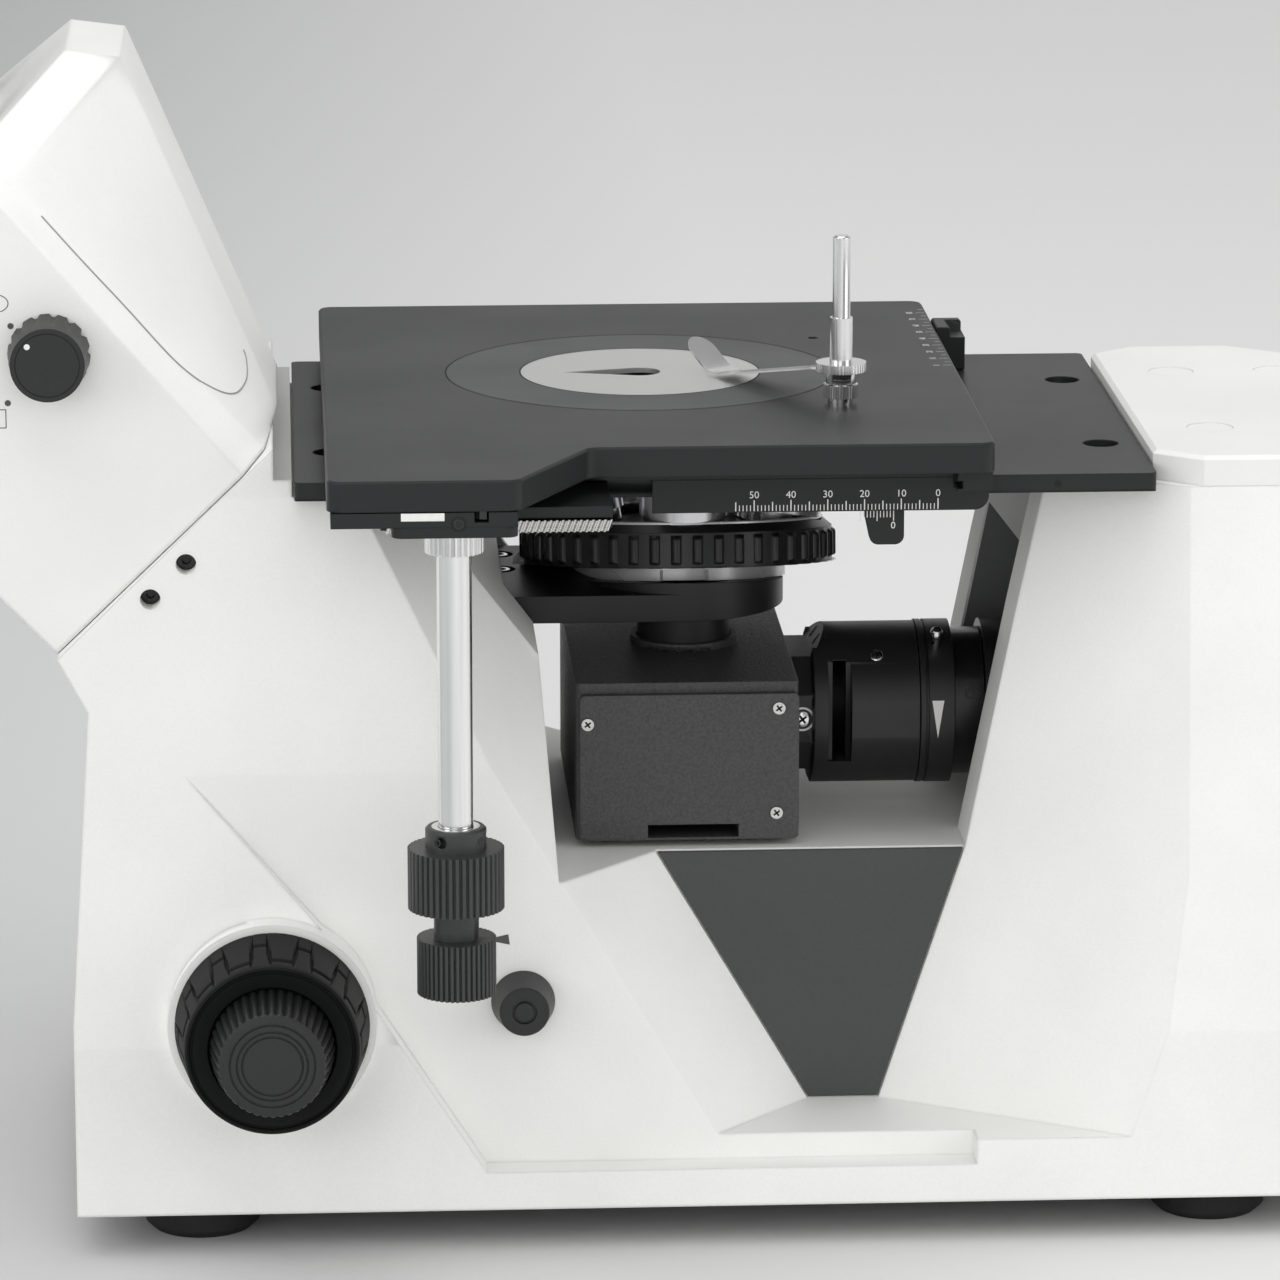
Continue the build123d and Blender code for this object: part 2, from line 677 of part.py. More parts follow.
def make_fixed_plate(high):
    """Plate bolted on the arm and the column, its bolts, vernier tab and toothed rack."""
    low = high - BASE_PLATE_T
    x = (-BASE_PLATE_LEFT, BASE_PLATE_X - BASE_PLATE_LEFT)
    half_y = BASE_PLATE_Y / 2
    span = (low - OVERRUN, high + OVERRUN)
    plate = rounded_slab(x, (-half_y, half_y), (low, high), BASE_PLATE_CORNER)
    plate -= Pos(0, BASE_OPENING_Y, 0) * rod(BASE_OPENING_R, *span)
    tongue_x = (-RACK_LEFT - RACK_TOOTH, -RACK_LEFT + RACK_X + RACK_TOOTH)
    seat = (high - TONGUE_T, high + OVERRUN)
    plate -= block((tongue_x[0] - RUN_FIT, tongue_x[1] + RUN_FIT),
                   (-half_y - OVERRUN, -half_y + TONGUE_SEAT_Y), seat)
    lip = EDGE_BREAK
    plate -= block((x[0] - OVERRUN, x[1] + OVERRUN), (-half_y - OVERRUN, -half_y + lip),
                   (low - OVERRUN, low + lip))
    bolts = []
    for bolt_x in (x[0] + BOLT_HOLE_INSET, x[1] - BOLT_HOLE_INSET):
        for side in (-1, 1):
            spot = Pos(bolt_x, side * BOLT_HOLE_Y, 0)
            plate -= spot * rod(BOLT_HOLE_R, low + SCREW_HEAD_H, high + OVERRUN)
            plate -= spot * rod(SCREW_R + RUN_FIT, *span)
            bolts.append(spot * Pos(0, 0, low + SCREW_HEAD_H)
                         * cap_screw(SCREW_R, BOLT_HOLE_R - FACE_GAP, SCREW_HEAD_H, BOLT_L))
    add("stage_base_plate", plate)
    add("body_screws", *bolts)

    tab = [(TAB_LEFT, low), (TAB_LEFT + TAB_X, low), (TAB_LEFT + TAB_X, -TAB_DROP + STAGE_TOP - APRON_DROP),
           (TAB_LEFT + TAB_SLANT, -TAB_DROP + STAGE_TOP - APRON_DROP)]
    hanger = side_plate(tab, -half_y, -half_y + TAB_T)
    hanger = fillet(hanger.edges().filter_by(Axis.Y).sort_by(Axis.Z)[:2], TAB_CORNER)
    hanger += block((TAB_LEFT, TAB_LEFT + TAB_X), (-half_y, -half_y + TAB_FOOT_Y), (low - TAB_T, low))
    add("x_vernier_tab", hanger)

    face = GEAR_R + MESH_GAP - DRIVE_Y + RACK_TOOTH
    tongue = block(tongue_x, (face + FACE_GAP, -half_y + TONGUE_SEAT_Y - RUN_FIT),
                   (high - TONGUE_T, high - RUN_FIT))
    tongue += block(tongue_x, (face + RACK_BODY, face + RACK_BODY * 2),
                    (STAGE_TOP - RACK_DEPTH - RACK_H, high - TONGUE_T))
    add("rack_tongue", tongue)
    teeth = mating_teeth(RACK_X, GEAR_R, GEAR_TOOTH, GEAR_TEETH)
    bar = toothed_bar(RACK_X, RACK_TOOTH, RACK_BODY, RACK_H, teeth, RACK_HELIX_DEG)
    add("x_rack", Pos(-RACK_LEFT, face, STAGE_TOP - RACK_DEPTH - RACK_H) * bar)


def make_stage_drive():
    """Bracket under the lobe and the coaxial shaft with its gear, pinion, collar and two knobs."""
    bridge_low = STAGE_TOP - PLATE_T - FACE_GAP - SLIDE_T
    x = (-DRIVE_BLOCK_LEFT, DRIVE_BLOCK_X - DRIVE_BLOCK_LEFT)
    front = -PLATE_Y / 2 - LOBE_REACH
    foot = STAGE_TOP - PLATE_T - DRIVE_BLOCK_H
    bracket = rounded_slab(x, (front, front + DRIVE_BLOCK_Y), (foot, bridge_low), DRIVE_BLOCK_CORNER)
    axis = Pos(-DRIVE_X, -DRIVE_Y, 0)
    bracket -= axis * rod(INNER_SHAFT_R + RUN_FIT, foot - OVERRUN, STAGE_TOP)
    add("drive_bracket", bracket)

    gear_top = foot - FACE_GAP
    gear_foot = gear_top - GEAR_H
    gear = ribbed(GEAR_R, GEAR_TOOTH, GEAR_TEETH, gear_foot, gear_top, GEAR_LAND_SHARE)
    collar_top = STAGE_TOP - SHAFT_END_DEPTH
    upper_top = collar_top - COLLAR_H
    upper_foot = upper_top - UPPER_KNOB_H
    neck_foot = upper_foot - DRIVE_NECK_H
    bore = rod(INNER_SHAFT_R + RUN_FIT, neck_foot - OVERRUN, STAGE_TOP)
    add("x_drive_shaft", axis * (gear + rod(SHAFT_R, collar_top, gear_foot) - bore))
    collar = chamfer(rod(COLLAR_R, upper_top, collar_top).edges().sort_by(Axis.Z)[-1:], EDGE_BREAK)
    for screw in range(COLLAR_SCREWS):
        collar -= Rot(0, 0, screw * 360 / COLLAR_SCREWS) * Pos(0, 0, collar_top - COLLAR_H / 2) * Rot(0, 90, 0) * rod(
            SCREW_R, SHAFT_R + SCREW_R, COLLAR_R + OVERRUN)
    upper = ribbed(UPPER_KNOB_R, KNURL_DEPTH, KNURL_RIBS, upper_foot, upper_top)
    add("x_drive_knob", axis * (collar - rod(SHAFT_R, upper_top - OVERRUN, STAGE_TOP) + rod(
        SHAFT_R, upper_top, collar_top) - bore))
    add("x_drive_knob", axis * (upper - bore))

    lower_top = neck_foot
    lower = ribbed(LOWER_KNOB_R, KNURL_DEPTH, KNURL_RIBS, lower_top - LOWER_KNOB_H, lower_top)
    neck = rod(DRIVE_NECK_R, neck_foot, upper_foot - FACE_GAP)
    add("y_drive_knob", axis * (lower + neck))
    pinion_top = STAGE_TOP - PLATE_T - FACE_GAP * 2
    pinion = ribbed(Y_PINION_R, Y_RACK_TOOTH, Y_PINION_TEETH, pinion_top - Y_PINION_H, pinion_top,
                    GEAR_LAND_SHARE)
    add("y_drive_knob", axis * (rod(INNER_SHAFT_R, upper_foot - FACE_GAP, pinion_top - Y_PINION_H) + pinion))


def make_clip():
    """Spring clip on a post: fixed foot, turning sleeve, knurled nut, pin and leaf."""
    axis = Pos(REST_X + CLIP_X, -CLIP_Y, STAGE_TOP)
    ring_top = CLIP_FOOT_H + CLIP_RING_H
    nut_top = CLIP_NUT_DEPTH + CLIP_NUT_H
    post = rod(CLIP_FOOT_R, 0, CLIP_FOOT_H) + rod(CLIP_HOLE_R - RUN_FIT, -PLATE_T, 0)
    post += ribbed(CLIP_RING_R, KNURL_DEPTH / 2, KNURL_RIBS, CLIP_FOOT_H, ring_top)
    post += rod(CLIP_PIN_R, ring_top, CLIP_PIN_TOP)
    post = chamfer(post.edges().sort_by(Axis.Z)[-1:], EDGE_BREAK)
    add("clip_post", axis * post)
    bore = rod(CLIP_PIN_R + RUN_FIT, 0, CLIP_PIN_TOP)
    leaf_low = ring_top + FACE_GAP
    sleeve = turned([(0, leaf_low), (CLIP_NECK_R, leaf_low), (CLIP_NECK_R, CLIP_NUT_DEPTH),
                     (CLIP_SLEEVE_R, CLIP_NUT_DEPTH), (CLIP_SLEEVE_R, CLIP_SLEEVE_TOP), (0, CLIP_SLEEVE_TOP)])
    nut = ribbed(CLIP_NUT_R, KNURL_DEPTH / 2, KNURL_RIBS, CLIP_NUT_DEPTH, nut_top)
    add("clip_arm", axis * (sleeve + nut - bore))
    width = CLIP_LEAF_W
    low = CLIP_LEAF_LOW
    end = CLIP_LEAF_RUN * CLIP_TIP_SHARE
    path = [(0, CLIP_NUT_DEPTH), (CLIP_NECK_R * 2, CLIP_NUT_DEPTH), (CLIP_LEAF_RUN * CLIP_BEND_SHARE, low),
            (CLIP_LEAF_RUN, low + EDGE_BREAK), (end, CLIP_LEAF_TIP)]
    under = [(x, z - CLIP_LEAF_T) for x, z in reversed(path)]
    leaf = side_plate(path + under, -width / 2, width / 2)
    tip = end - width / 2
    leaf &= block((0, tip), (-width / 2, width / 2), (0, CLIP_PIN_TOP)) + Pos(tip, 0, 0) * rod(width / 2, 0,
                                                                                               CLIP_PIN_TOP)
    leaf -= rod(CLIP_SLEEVE_R + RUN_FIT + CLIP_NECK_R - CLIP_SLEEVE_R, 0, CLIP_PIN_TOP)
    add("clip_arm", axis * Rot(0, 0, CLIP_LEAF_DEG) * leaf)


def seam_point(across, up=0):
    """Place in X and Z on the head seam, across it and up the beam."""
    tilt = math.radians(SEAM_TILT)
    return (-SEAM_X + across * math.cos(tilt) - up * math.sin(tilt),
            STAGE_TOP - SEAM_DEPTH + across * math.sin(tilt) + up * math.cos(tilt))


def seam_frame():
    """Frame with Z up the beam through the middle of the seam."""
    x, z = seam_point(0)
    return Pos(x, 0, z) * Rot(0, -SEAM_TILT, 0)


def turret_frame():
    """Frame with Z up the turret axis from the point where all objective axes meet."""
    apex = STAGE_TOP - RIM_DEPTH - TURRET_Y / math.tan(math.radians(TURRET_TILT))
    return Pos(0, 0, apex) * Rot(-TURRET_TILT, 0, 0)


def valley_tool(way):
    """Solid that hollows one flank between the arm and the column down to the dark panel."""
    apex_z = VALLEY_FLOOR_HEIGHT - VALLEY_APEX_BELOW
    rise = PLATFORM_Z - apex_z
    high = STAGE_TOP + PLATE_T
    left_slope = (VALLEY_LEFT_X + VALLEY_APEX_X) / rise
    right_slope = (COLUMN_FOOT_X - VALLEY_APEX_X) / rise
    top_slope = (COLUMN_TOP_X - COLUMN_FOOT_X) / (FRAME_TOP - PLATFORM_Z)

    def outline(spread_left, spread_right, y):
        foot = VALLEY_FLOOR_HEIGHT
        return [(VALLEY_APEX_X - left_slope * (foot - apex_z) - spread_left, y, foot),
                (VALLEY_APEX_X + right_slope * (foot - apex_z) + spread_right, y, foot),
                (COLUMN_FOOT_X + spread_right, y, PLATFORM_Z),
                (COLUMN_FOOT_X + top_slope * (high - PLATFORM_Z) + spread_right, y, high),
                (VALLEY_APEX_X - left_slope * (high - apex_z) - spread_left, y, high)]
    inner = Face(Wire.make_polygon(outline(0, 0, way * VALLEY_HALF_W), close=True))
    reach = way * (HALF_W_LOW + OVERRUN)
    outer = Face(Wire.make_polygon(outline(VALLEY_FRONT_FLARE, VALLEY_REAR_FLARE, reach), close=True))
    return loft([inner, outer], ruled=True)


def body_profile():
    """Side outline of the casting: base, front arm up to the seam, platform and column."""
    return [(-BODY_FRONT, BASE_Z), (-BODY_FRONT, STAGE_TOP - FOCUS_DEPTH),
            (-BODY_NECK_IN, STAGE_TOP - BODY_NECK_DEPTH),
            seam_point(-SEAM_HALF), seam_point(SEAM_HALF),
            (seam_point(SEAM_HALF)[0], STAGE_TOP - PAD_TOP_DEPTH), (-PAD_INNER_X, STAGE_TOP - PAD_TOP_DEPTH),
            (-PAD_INNER_X, FRAME_TOP), (-ARM_TOP_INNER, FRAME_TOP),
            (-ARM_SHOULDER_X, STAGE_TOP - ARM_SHOULDER_DEPTH), (-ARM_KNEE_X, STAGE_TOP - ARM_KNEE_DEPTH),
            (-ARM_FOOT_X, PLATFORM_Z), (COLUMN_FOOT_X, PLATFORM_Z),
            (COLUMN_BEND_X, STAGE_TOP - COLUMN_BEND_DEPTH), (COLUMN_TOP_X, FRAME_TOP),
            (COLUMN_BACK_X, FRAME_TOP), (COLUMN_BACK_X, BODY_BACK_BEND_HEIGHT), (BODY_BACK_X,
                                                                                 BODY_BACK_HEIGHT),
            (BODY_BACK_X, BASE_Z)]


def panel_outline():
    """Corners of the dark panel in X and Z, which follow the foot of the valley."""
    apex_z = VALLEY_FLOOR_HEIGHT - VALLEY_APEX_BELOW
    rise = PLATFORM_Z - apex_z
    lift = (VALLEY_FLOOR_HEIGHT - apex_z) / rise
    return [(VALLEY_APEX_X - (VALLEY_LEFT_X + VALLEY_APEX_X) * lift, VALLEY_FLOOR_HEIGHT),
            (VALLEY_APEX_X + (COLUMN_FOOT_X - VALLEY_APEX_X) * lift, VALLEY_FLOOR_HEIGHT),
            (COLUMN_FOOT_X, PLATFORM_Z), (-VALLEY_LEFT_X, PLATFORM_Z)]


def make_body():
    """Casting that carries everything, its two dark panels, bottom plate and feet."""
    body = side_plate(body_profile(), -HALF_W_LOW, HALF_W_LOW)
    right = [(HALF_W_LOW, BASE_Z - OVERRUN), (HALF_W_LOW, LOW_HEIGHT), (HALF_W_MID, STAGE_TOP - MID_DEPTH),
             (HALF_W_TOP, FRAME_TOP), (HALF_W_TOP, STAGE_TOP + PLATE_T)]
    left = [(-y, z) for y, z in reversed(right)]
    body &= front_plate(right + left, -BODY_FRONT * 2, BODY_BACK_X * 2)
    crease = [(-BODY_FRONT * x, STAGE_TOP * (1 - depth)) for x, depth in zip(CREASE_X_SHARES,
                                                                             CREASE_DEPTH_SHARES)]
    band = crease + [(COLUMN_FOOT_X, crease[-1][1]), (COLUMN_FOOT_X, STAGE_TOP * 2),
                     (-BODY_FRONT * 2, STAGE_TOP * 2),
                     (-BODY_FRONT * 2, crease[0][1])]
    for way in (-1, 1):
        body -= valley_tool(way)
        near, far = sorted((way * BAND_HALF_W, way * (HALF_W_LOW + OVERRUN)))
        body -= side_plate(band, near, far)
        corner = [(COLUMN_BACK_X - CAP_REAR_CHAMFER_X, way * (HALF_W_LOW + CAP_CHAMFER_Y)),
                  (BODY_BACK_X + CAP_REAR_CHAMFER_X, way * (HALF_W_LOW + CAP_CHAMFER_Y)),
                  (BODY_BACK_X + CAP_REAR_CHAMFER_X, way * (HALF_W_TOP - CAP_REAR_CHAMFER_Y))]
        body -= flat_plate(corner if way > 0 else corner[::-1], BASE_Z - OVERRUN, STAGE_TOP)
        near, far = sorted((way * (VALLEY_HALF_W - PANEL_T), way * (VALLEY_HALF_W + OVERRUN)))
        body -= side_plate(panel_outline(), near, far)
    for back, top in ((POCKET_BACK_X, STAGE_TOP - POCKET_TOP_DEPTH), (POCKET_OPEN_X, STAGE_TOP)):
        body -= block((COLUMN_FOOT_X - POCKET_HALF_W, back), (-POCKET_HALF_W, POCKET_HALF_W),
                      (PLATFORM_Z, top))
    body -= along_x(0, LIGHT_Z) * rod(LIGHT_BORE_R, POCKET_BACK_X - OVERRUN, BODY_BACK_X)
    body -= along_x(0, LIGHT_Z) * rod(LIGHT_TUBE_R + RUN_FIT, POCKET_BACK_X - OVERRUN,
                                      POCKET_BACK_X + REAR_RING_L)
    body -= along_x(0, LIGHT_Z) * rod(HOUSE_MOUNT_R - HOUSE_WALL, COLUMN_BACK_X - HOUSE_MOUNT_L, BODY_BACK_X)
    body -= rod(PATH_BORE_R, BASE_POCKET_TOP - OVERRUN, PLATFORM_Z + OVERRUN)
    body -= seam_frame() * rod(PATH_BORE_R, -(SEAM_DEPTH + STAGE_TOP), OVERRUN)
    body -= block((-BASE_POCKET_FRONT, BASE_POCKET_BACK), (-BASE_POCKET_HALF_W, BASE_POCKET_HALF_W),
                  (BASE_Z - OVERRUN, BASE_POCKET_TOP))
    body -= block((POWER_POCKET_FRONT, POWER_POCKET_BACK), (-BASE_POCKET_HALF_W, BASE_POCKET_HALF_W),
                  (BASE_Z - OVERRUN, BASE_POCKET_TOP))
    body -= block((-CHAMBER_BACK_X, -CHAMBER_FRONT_X), (CHAMBER_NEAR_Y, CHAMBER_FAR_Y),
                  (STAGE_TOP - CHAMBER_FOOT_DEPTH, STAGE_TOP - CHAMBER_TOP_DEPTH))
    body -= block((-CHAMBER_BACK_X + GUIDE_PLATE_X + SLIDE_BLOCK_X, -ARM_FOOT_X + OVERRUN),
                  (-BRACKET_NEAR_Y - SLIDE_BLOCK_GAP, BRACKET_FAR_Y + SLIDE_BLOCK_GAP),
                  (STAGE_TOP - BRACKET_FOOT_DEPTH - FOCUS_DOWN - SLIDE_BLOCK_GAP,
                   STAGE_TOP - BRACKET_TOP_DEPTH + FOCUS_UP + SLIDE_BLOCK_GAP))
    body += along_y(-FOCUS_X, FOCUS_Z) * rod(FOCUS_BOSS_R, HALF_W_LOW - FOCUS_BOSS_R, KNOB_SEAT_Y)
    body += along_y(-FOCUS_X, FOCUS_Z, -1) * rod(FOCUS_BOSS_R, HALF_W_LOW - FOCUS_BOSS_R, KNOB_SEAT_Y)
    body -= along_y(-FOCUS_X, FOCUS_Z) * rod(COARSE_SHAFT_R + RUN_FIT, -HALF_W_LOW * 2, HALF_W_LOW * 2)
    body -= along_y(-DIMMER_X, STAGE_TOP - DIMMER_DEPTH, -1) * rod(DIMMER_CAP_R, BAND_HALF_W - DIMMER_L,
                                                                   HALF_W_LOW)
    for across in SEAM_SCREWS_ACROSS:
        x, z = seam_point(across, -SEAM_SCREW_BELOW)
        for way in (-1, 1):
            body -= along_y(x, z, way) * rod(SEAM_SCREW_R, HALF_W_TOP - SEAM_SCREW_DEEP, HALF_W_LOW)
    for bolt_x in (-BASE_PLATE_LEFT + BOLT_HOLE_INSET, BASE_PLATE_X - BASE_PLATE_LEFT - BOLT_HOLE_INSET):
        for way in (-1, 1):
            body -= Pos(bolt_x, way * BOLT_HOLE_Y, 0) * rod(SCREW_R + RUN_FIT, FRAME_TOP - BOLT_L,
                                                            FRAME_TOP + OVERRUN)
    body -= block((BODY_BACK_X - INLET_DEEP - REAR_PANEL_T, BODY_BACK_X + OVERRUN),
                  (-REAR_PANEL_W / 2, REAR_PANEL_W / 2),
                  (REAR_PANEL_HEIGHT - REAR_PANEL_H / 2, REAR_PANEL_HEIGHT + REAR_PANEL_H / 2))
    add("body_casting", body)

    for way in (-1, 1):
        depth = way * (VALLEY_HALF_W - PANEL_T)
        rim = Wire.make_polygon([(x, depth, z) for x, z in panel_outline()], close=True)
        face = Face(rim.offset_2d(-PANEL_GAP, kind=Kind.INTERSECTION))
        add("side_panels", extrude(face, amount=PANEL_T - EDGE_BREAK / 2, dir=(0, way, 0)))

    plate = rounded_slab((-BODY_FRONT + BASE_PLATE_INSET,
                          BODY_BACK_X - BASE_PLATE_INSET - CAP_REAR_CHAMFER_X),
                         (-HALF_W_LOW + BASE_PLATE_INSET, HALF_W_LOW - BASE_PLATE_INSET), (FOOT_HEIGHT,
                                                                                           BASE_Z),
                         BASE_PLATE_INSET)
    add("bottom_plate", plate)
    feet = []
    for x in (-BODY_FRONT + FOOT_INSET_X, BODY_BACK_X - FOOT_INSET_X - CAP_REAR_CHAMFER_X):
        for way in (-1, 1):
            y = way * (HALF_W_LOW - FOOT_INSET_Y)
            foot = turned([(0, SCREW_HEAD_H * 2), (FOOT_R / 2, SCREW_HEAD_H * 2), (FOOT_R / 2, 0),
                           (FOOT_R - OVERRUN, 0),
                           (FOOT_R, OVERRUN), (FOOT_R, FOOT_HEIGHT), (0, FOOT_HEIGHT)])
            feet.append(Pos(x, y, 0) * foot)
    add("rubber_feet", *feet)


def make_cap():
    """Lid on the column with four round plugs."""
    high = FRAME_TOP + CAP_T
    rear = CAP_RIGHT - CAP_REAR_CHAMFER_X
    half = HALF_W_TOP
    near = [(CAP_LEFT, -half + CAP_CHAMFER_Y), (CAP_LEFT + CAP_CHAMFER_X, -half), (rear, -half),
            (CAP_RIGHT, -half + CAP_REAR_CHAMFER_Y)]
    far = [(x, -y) for x, y in reversed(near)]
    lid = flat_plate(near + far, FRAME_TOP, high)
    lid = chamfer(lid.faces().sort_by(Axis.Z)[-1].edges(), EDGE_BREAK * 2)
    plugs = []
    for x in (CAP_PLUG_X1, CAP_PLUG_X2):
        for way in (-1, 1):
            spot = Pos(x, way * CAP_PLUG_Y, 0)
            lid -= spot * rod(CAP_PLUG_R + RUN_FIT, high - CAP_PLUG_H * 2, high + OVERRUN)
            plugs.append(spot * rod(CAP_PLUG_R, high - CAP_PLUG_H * 2, high - EDGE_BREAK / 2))
    add("column_cap", lid)
    add("cap_plugs", *plugs)


def make_nosepiece():
    """Tilted turret with its ribbed rim and objectives, on a steel flange plate."""
    frame = turret_frame()
    foot = TURRET_Y / math.sin(math.radians(TURRET_TILT))
    rim = ribbed(RIM_R, RIM_RIB_DEPTH, RIM_RIBS, foot, foot + RIM_H)
    rim += cone(RIM_R - RIM_RIB_DEPTH, RIM_BEVEL_R, foot + RIM_H, foot + RIM_H + RIM_BEVEL_H)
    seat = (STAGE_TOP - PARFOCAL) - (STAGE_TOP - RIM_DEPTH - TURRET_Y / math.tan(math.radians(TURRET_TILT)))
    inside = seat - RIM_BEVEL_H
    hollow = math.sqrt(seat ** 2 - DOME_R ** 2)
    rim -= rod(DOME_R, hollow, foot + RIM_H * 2)
    cap = Sphere(seat) & rod(DOME_R, hollow - EDGE_BREAK, seat + OVERRUN)
    body = rim + cap
    body -= Sphere(inside) & rod(RIM_BEVEL_R - RIM_BEVEL_H, foot + RIM_BEVEL_H, seat)
    body -= rod(FLANGE_PLATE_R - RIM_BEVEL_H, foot - OVERRUN, foot + RIM_BEVEL_H + OVERRUN)
    lean = Rot(TURRET_TILT, 0, 0)
    for index in range(OBJECTIVES):
        turn = Rot(0, 0, 360 / OBJECTIVES * index)
        body -= turn * lean * rod(OBJECTIVE_THREAD_R + RUN_FIT, inside - RIM_H, seat + OVERRUN)
        body -= turn * lean * rod(OBJECTIVE_BODY_R + FACE_GAP, seat, seat + RIM_H)
        length = OBJECTIVE_LENGTHS[index]
        add("objectives", frame * turn * lean * Pos(0, 0, seat) * objective(length))
    add("turret", frame * body)

    notch_y = -FLANGE_PLATE_R + NOTCH_DEEP
    spindle = rod(NOTCH_W / 2, foot - FACE_GAP, foot + RIM_BEVEL_H)
    light = lean * rod(PATH_BORE_R, 0, foot * 2)
    plate = rod(FLANGE_PLATE_R, foot - FLANGE_PLATE_T, foot - FACE_GAP) - block(
        (-NOTCH_W / 2, NOTCH_W / 2), (-FLANGE_PLATE_R - OVERRUN, notch_y), (foot - FLANGE_PLATE_T * 2,
                                                                            foot)) - light
    add("turret_flange", frame * plate)
    add("turret_flange", frame * (spindle - light))


def objective(length):
    """Objective from its seat up: thread, flange ring, barrel, tapered nose and front lens rim."""
    shoulder = length * OBJECTIVE_SHOULDER_SHARE
    nose = length * OBJECTIVE_NOSE_SHARE
    outline = [(0, -OBJECTIVE_THREAD_H), (OBJECTIVE_THREAD_R, -OBJECTIVE_THREAD_H), (OBJECTIVE_THREAD_R, 0),
               (OBJECTIVE_FLANGE_R, 0), (OBJECTIVE_FLANGE_R, OBJECTIVE_FLANGE_H), (OBJECTIVE_BODY_R,
                                                                                   OBJECTIVE_FLANGE_H),
               (OBJECTIVE_BODY_R, shoulder), (OBJECTIVE_BODY_R - EDGE_BREAK, shoulder + EDGE_BREAK),
               (OBJECTIVE_TAPER_R, nose), (OBJECTIVE_NOSE_R, nose), (OBJECTIVE_NOSE_R, length - EDGE_BREAK),
               (OBJECTIVE_NOSE_R - EDGE_BREAK, length), (FRONT_LENS_R, length), (FRONT_LENS_R - EDGE_BREAK,
                                                                                 length - EDGE_BREAK),
               (0, length - EDGE_BREAK)]
    return turned(outline)


def make_bracket():
    """Nosepiece bracket with its boss, light tube and screws, on the focus slide in the arm."""
    low = STAGE_TOP - BRACKET_FOOT_DEPTH
    high = STAGE_TOP - BRACKET_TOP_DEPTH
    root = -CHAMBER_BACK_X + GUIDE_PLATE_X + SLIDE_BLOCK_X
    frame = turret_frame()
    foot = TURRET_Y / math.sin(math.radians(TURRET_TILT))
    boss = Pos(0, BOSS_Y, 0) * rod(BOSS_R, low, STAGE_TOP - RIM_DEPTH + RIM_H)
    above = foot - FLANGE_PLATE_T
    room = frame * rod(RIM_R + OVERRUN, foot - RIM_GAP, foot + RIM_R)
    room += frame * rod(FLANGE_PLATE_R + FACE_GAP, above, foot)
    arm = block((root, 0), (-BRACKET_NEAR_Y, BRACKET_FAR_Y), (low, high))
    arm = fillet(arm.edges().filter_by(Axis.Z).sort_by(Axis.X)[:2], EDGE_BREAK)
    bracket = boss - frame * rod(RIM_R + RIM_H, above, foot + RIM_R) + (arm - room)
    bracket -= rod(TUBE_R, low - OVERRUN, STAGE_TOP)
    screws = []
    for y in (BRACKET_SCREW_NEAR_Y, BRACKET_SCREW_FAR_Y):
        spot = Pos(-BRACKET_SCREW_X, y, 0)
        bracket -= spot * rod(BRACKET_SCREW_BORE_R, high - SCREW_HEAD_R, high + OVERRUN)
        screws.append(spot * Pos(0, 0, high - SCREW_HEAD_R)
                      * cap_screw(BRACKET_SCREW_HEAD_R - EDGE_BREAK, BRACKET_SCREW_HEAD_R, SCREW_HEAD_R, 0))
    add("nosepiece_bracket", bracket)
    add("nosepiece_bracket", *screws)
    dip = STAGE_TOP - BOX_TOP_DEPTH - TUBE_DIP
    add("nosepiece_bracket", pipe(TUBE_R, TUBE_BORE_R, dip, high - OVERRUN))

    block_low = STAGE_TOP - CHAMBER_FOOT_DEPTH + FOCUS_DOWN + SLIDE_BLOCK_GAP
    block_high = STAGE_TOP - CHAMBER_TOP_DEPTH - FOCUS_UP - SLIDE_BLOCK_GAP
    back = -CHAMBER_BACK_X + GUIDE_PLATE_X
    middle = (CHAMBER_NEAR_Y + CHAMBER_FAR_Y) / 2
    slide = block((back, root), (CHAMBER_NEAR_Y + SLIDE_BLOCK_GAP, CHAMBER_FAR_Y - SLIDE_BLOCK_GAP),
                  (block_low, block_high))
    half = DOVETAIL_W / 2
    groove = [(back - OVERRUN, middle - half), (back, middle - half),
              (back + DOVETAIL_D, middle - half - DOVETAIL_SLANT),
              (back + DOVETAIL_D, middle + half + DOVETAIL_SLANT), (back, middle + half), (back - OVERRUN,
                                                                                           middle + half)]
    slide -= flat_plate(groove[::-1], block_low - OVERRUN, block_high + OVERRUN)
    add("focus_slide", slide)
    fit = FACE_GAP
    rail = [(-CHAMBER_BACK_X, middle - half - DOVETAIL_SLANT), (back - fit, middle - half - DOVETAIL_SLANT),
            (back - fit, middle - half + fit), (back, middle - half + fit),
            (back + DOVETAIL_D - fit, middle - half - DOVETAIL_SLANT + fit * 2),
            (back + DOVETAIL_D - fit, middle + half + DOVETAIL_SLANT - fit * 2), (back, middle + half - fit),
            (back - fit, middle + half - fit), (back - fit, middle + half + DOVETAIL_SLANT),
            (-CHAMBER_BACK_X, middle + half + DOVETAIL_SLANT)]
    add("focus_guide", flat_plate(rail, STAGE_TOP - CHAMBER_FOOT_DEPTH, STAGE_TOP - CHAMBER_TOP_DEPTH))


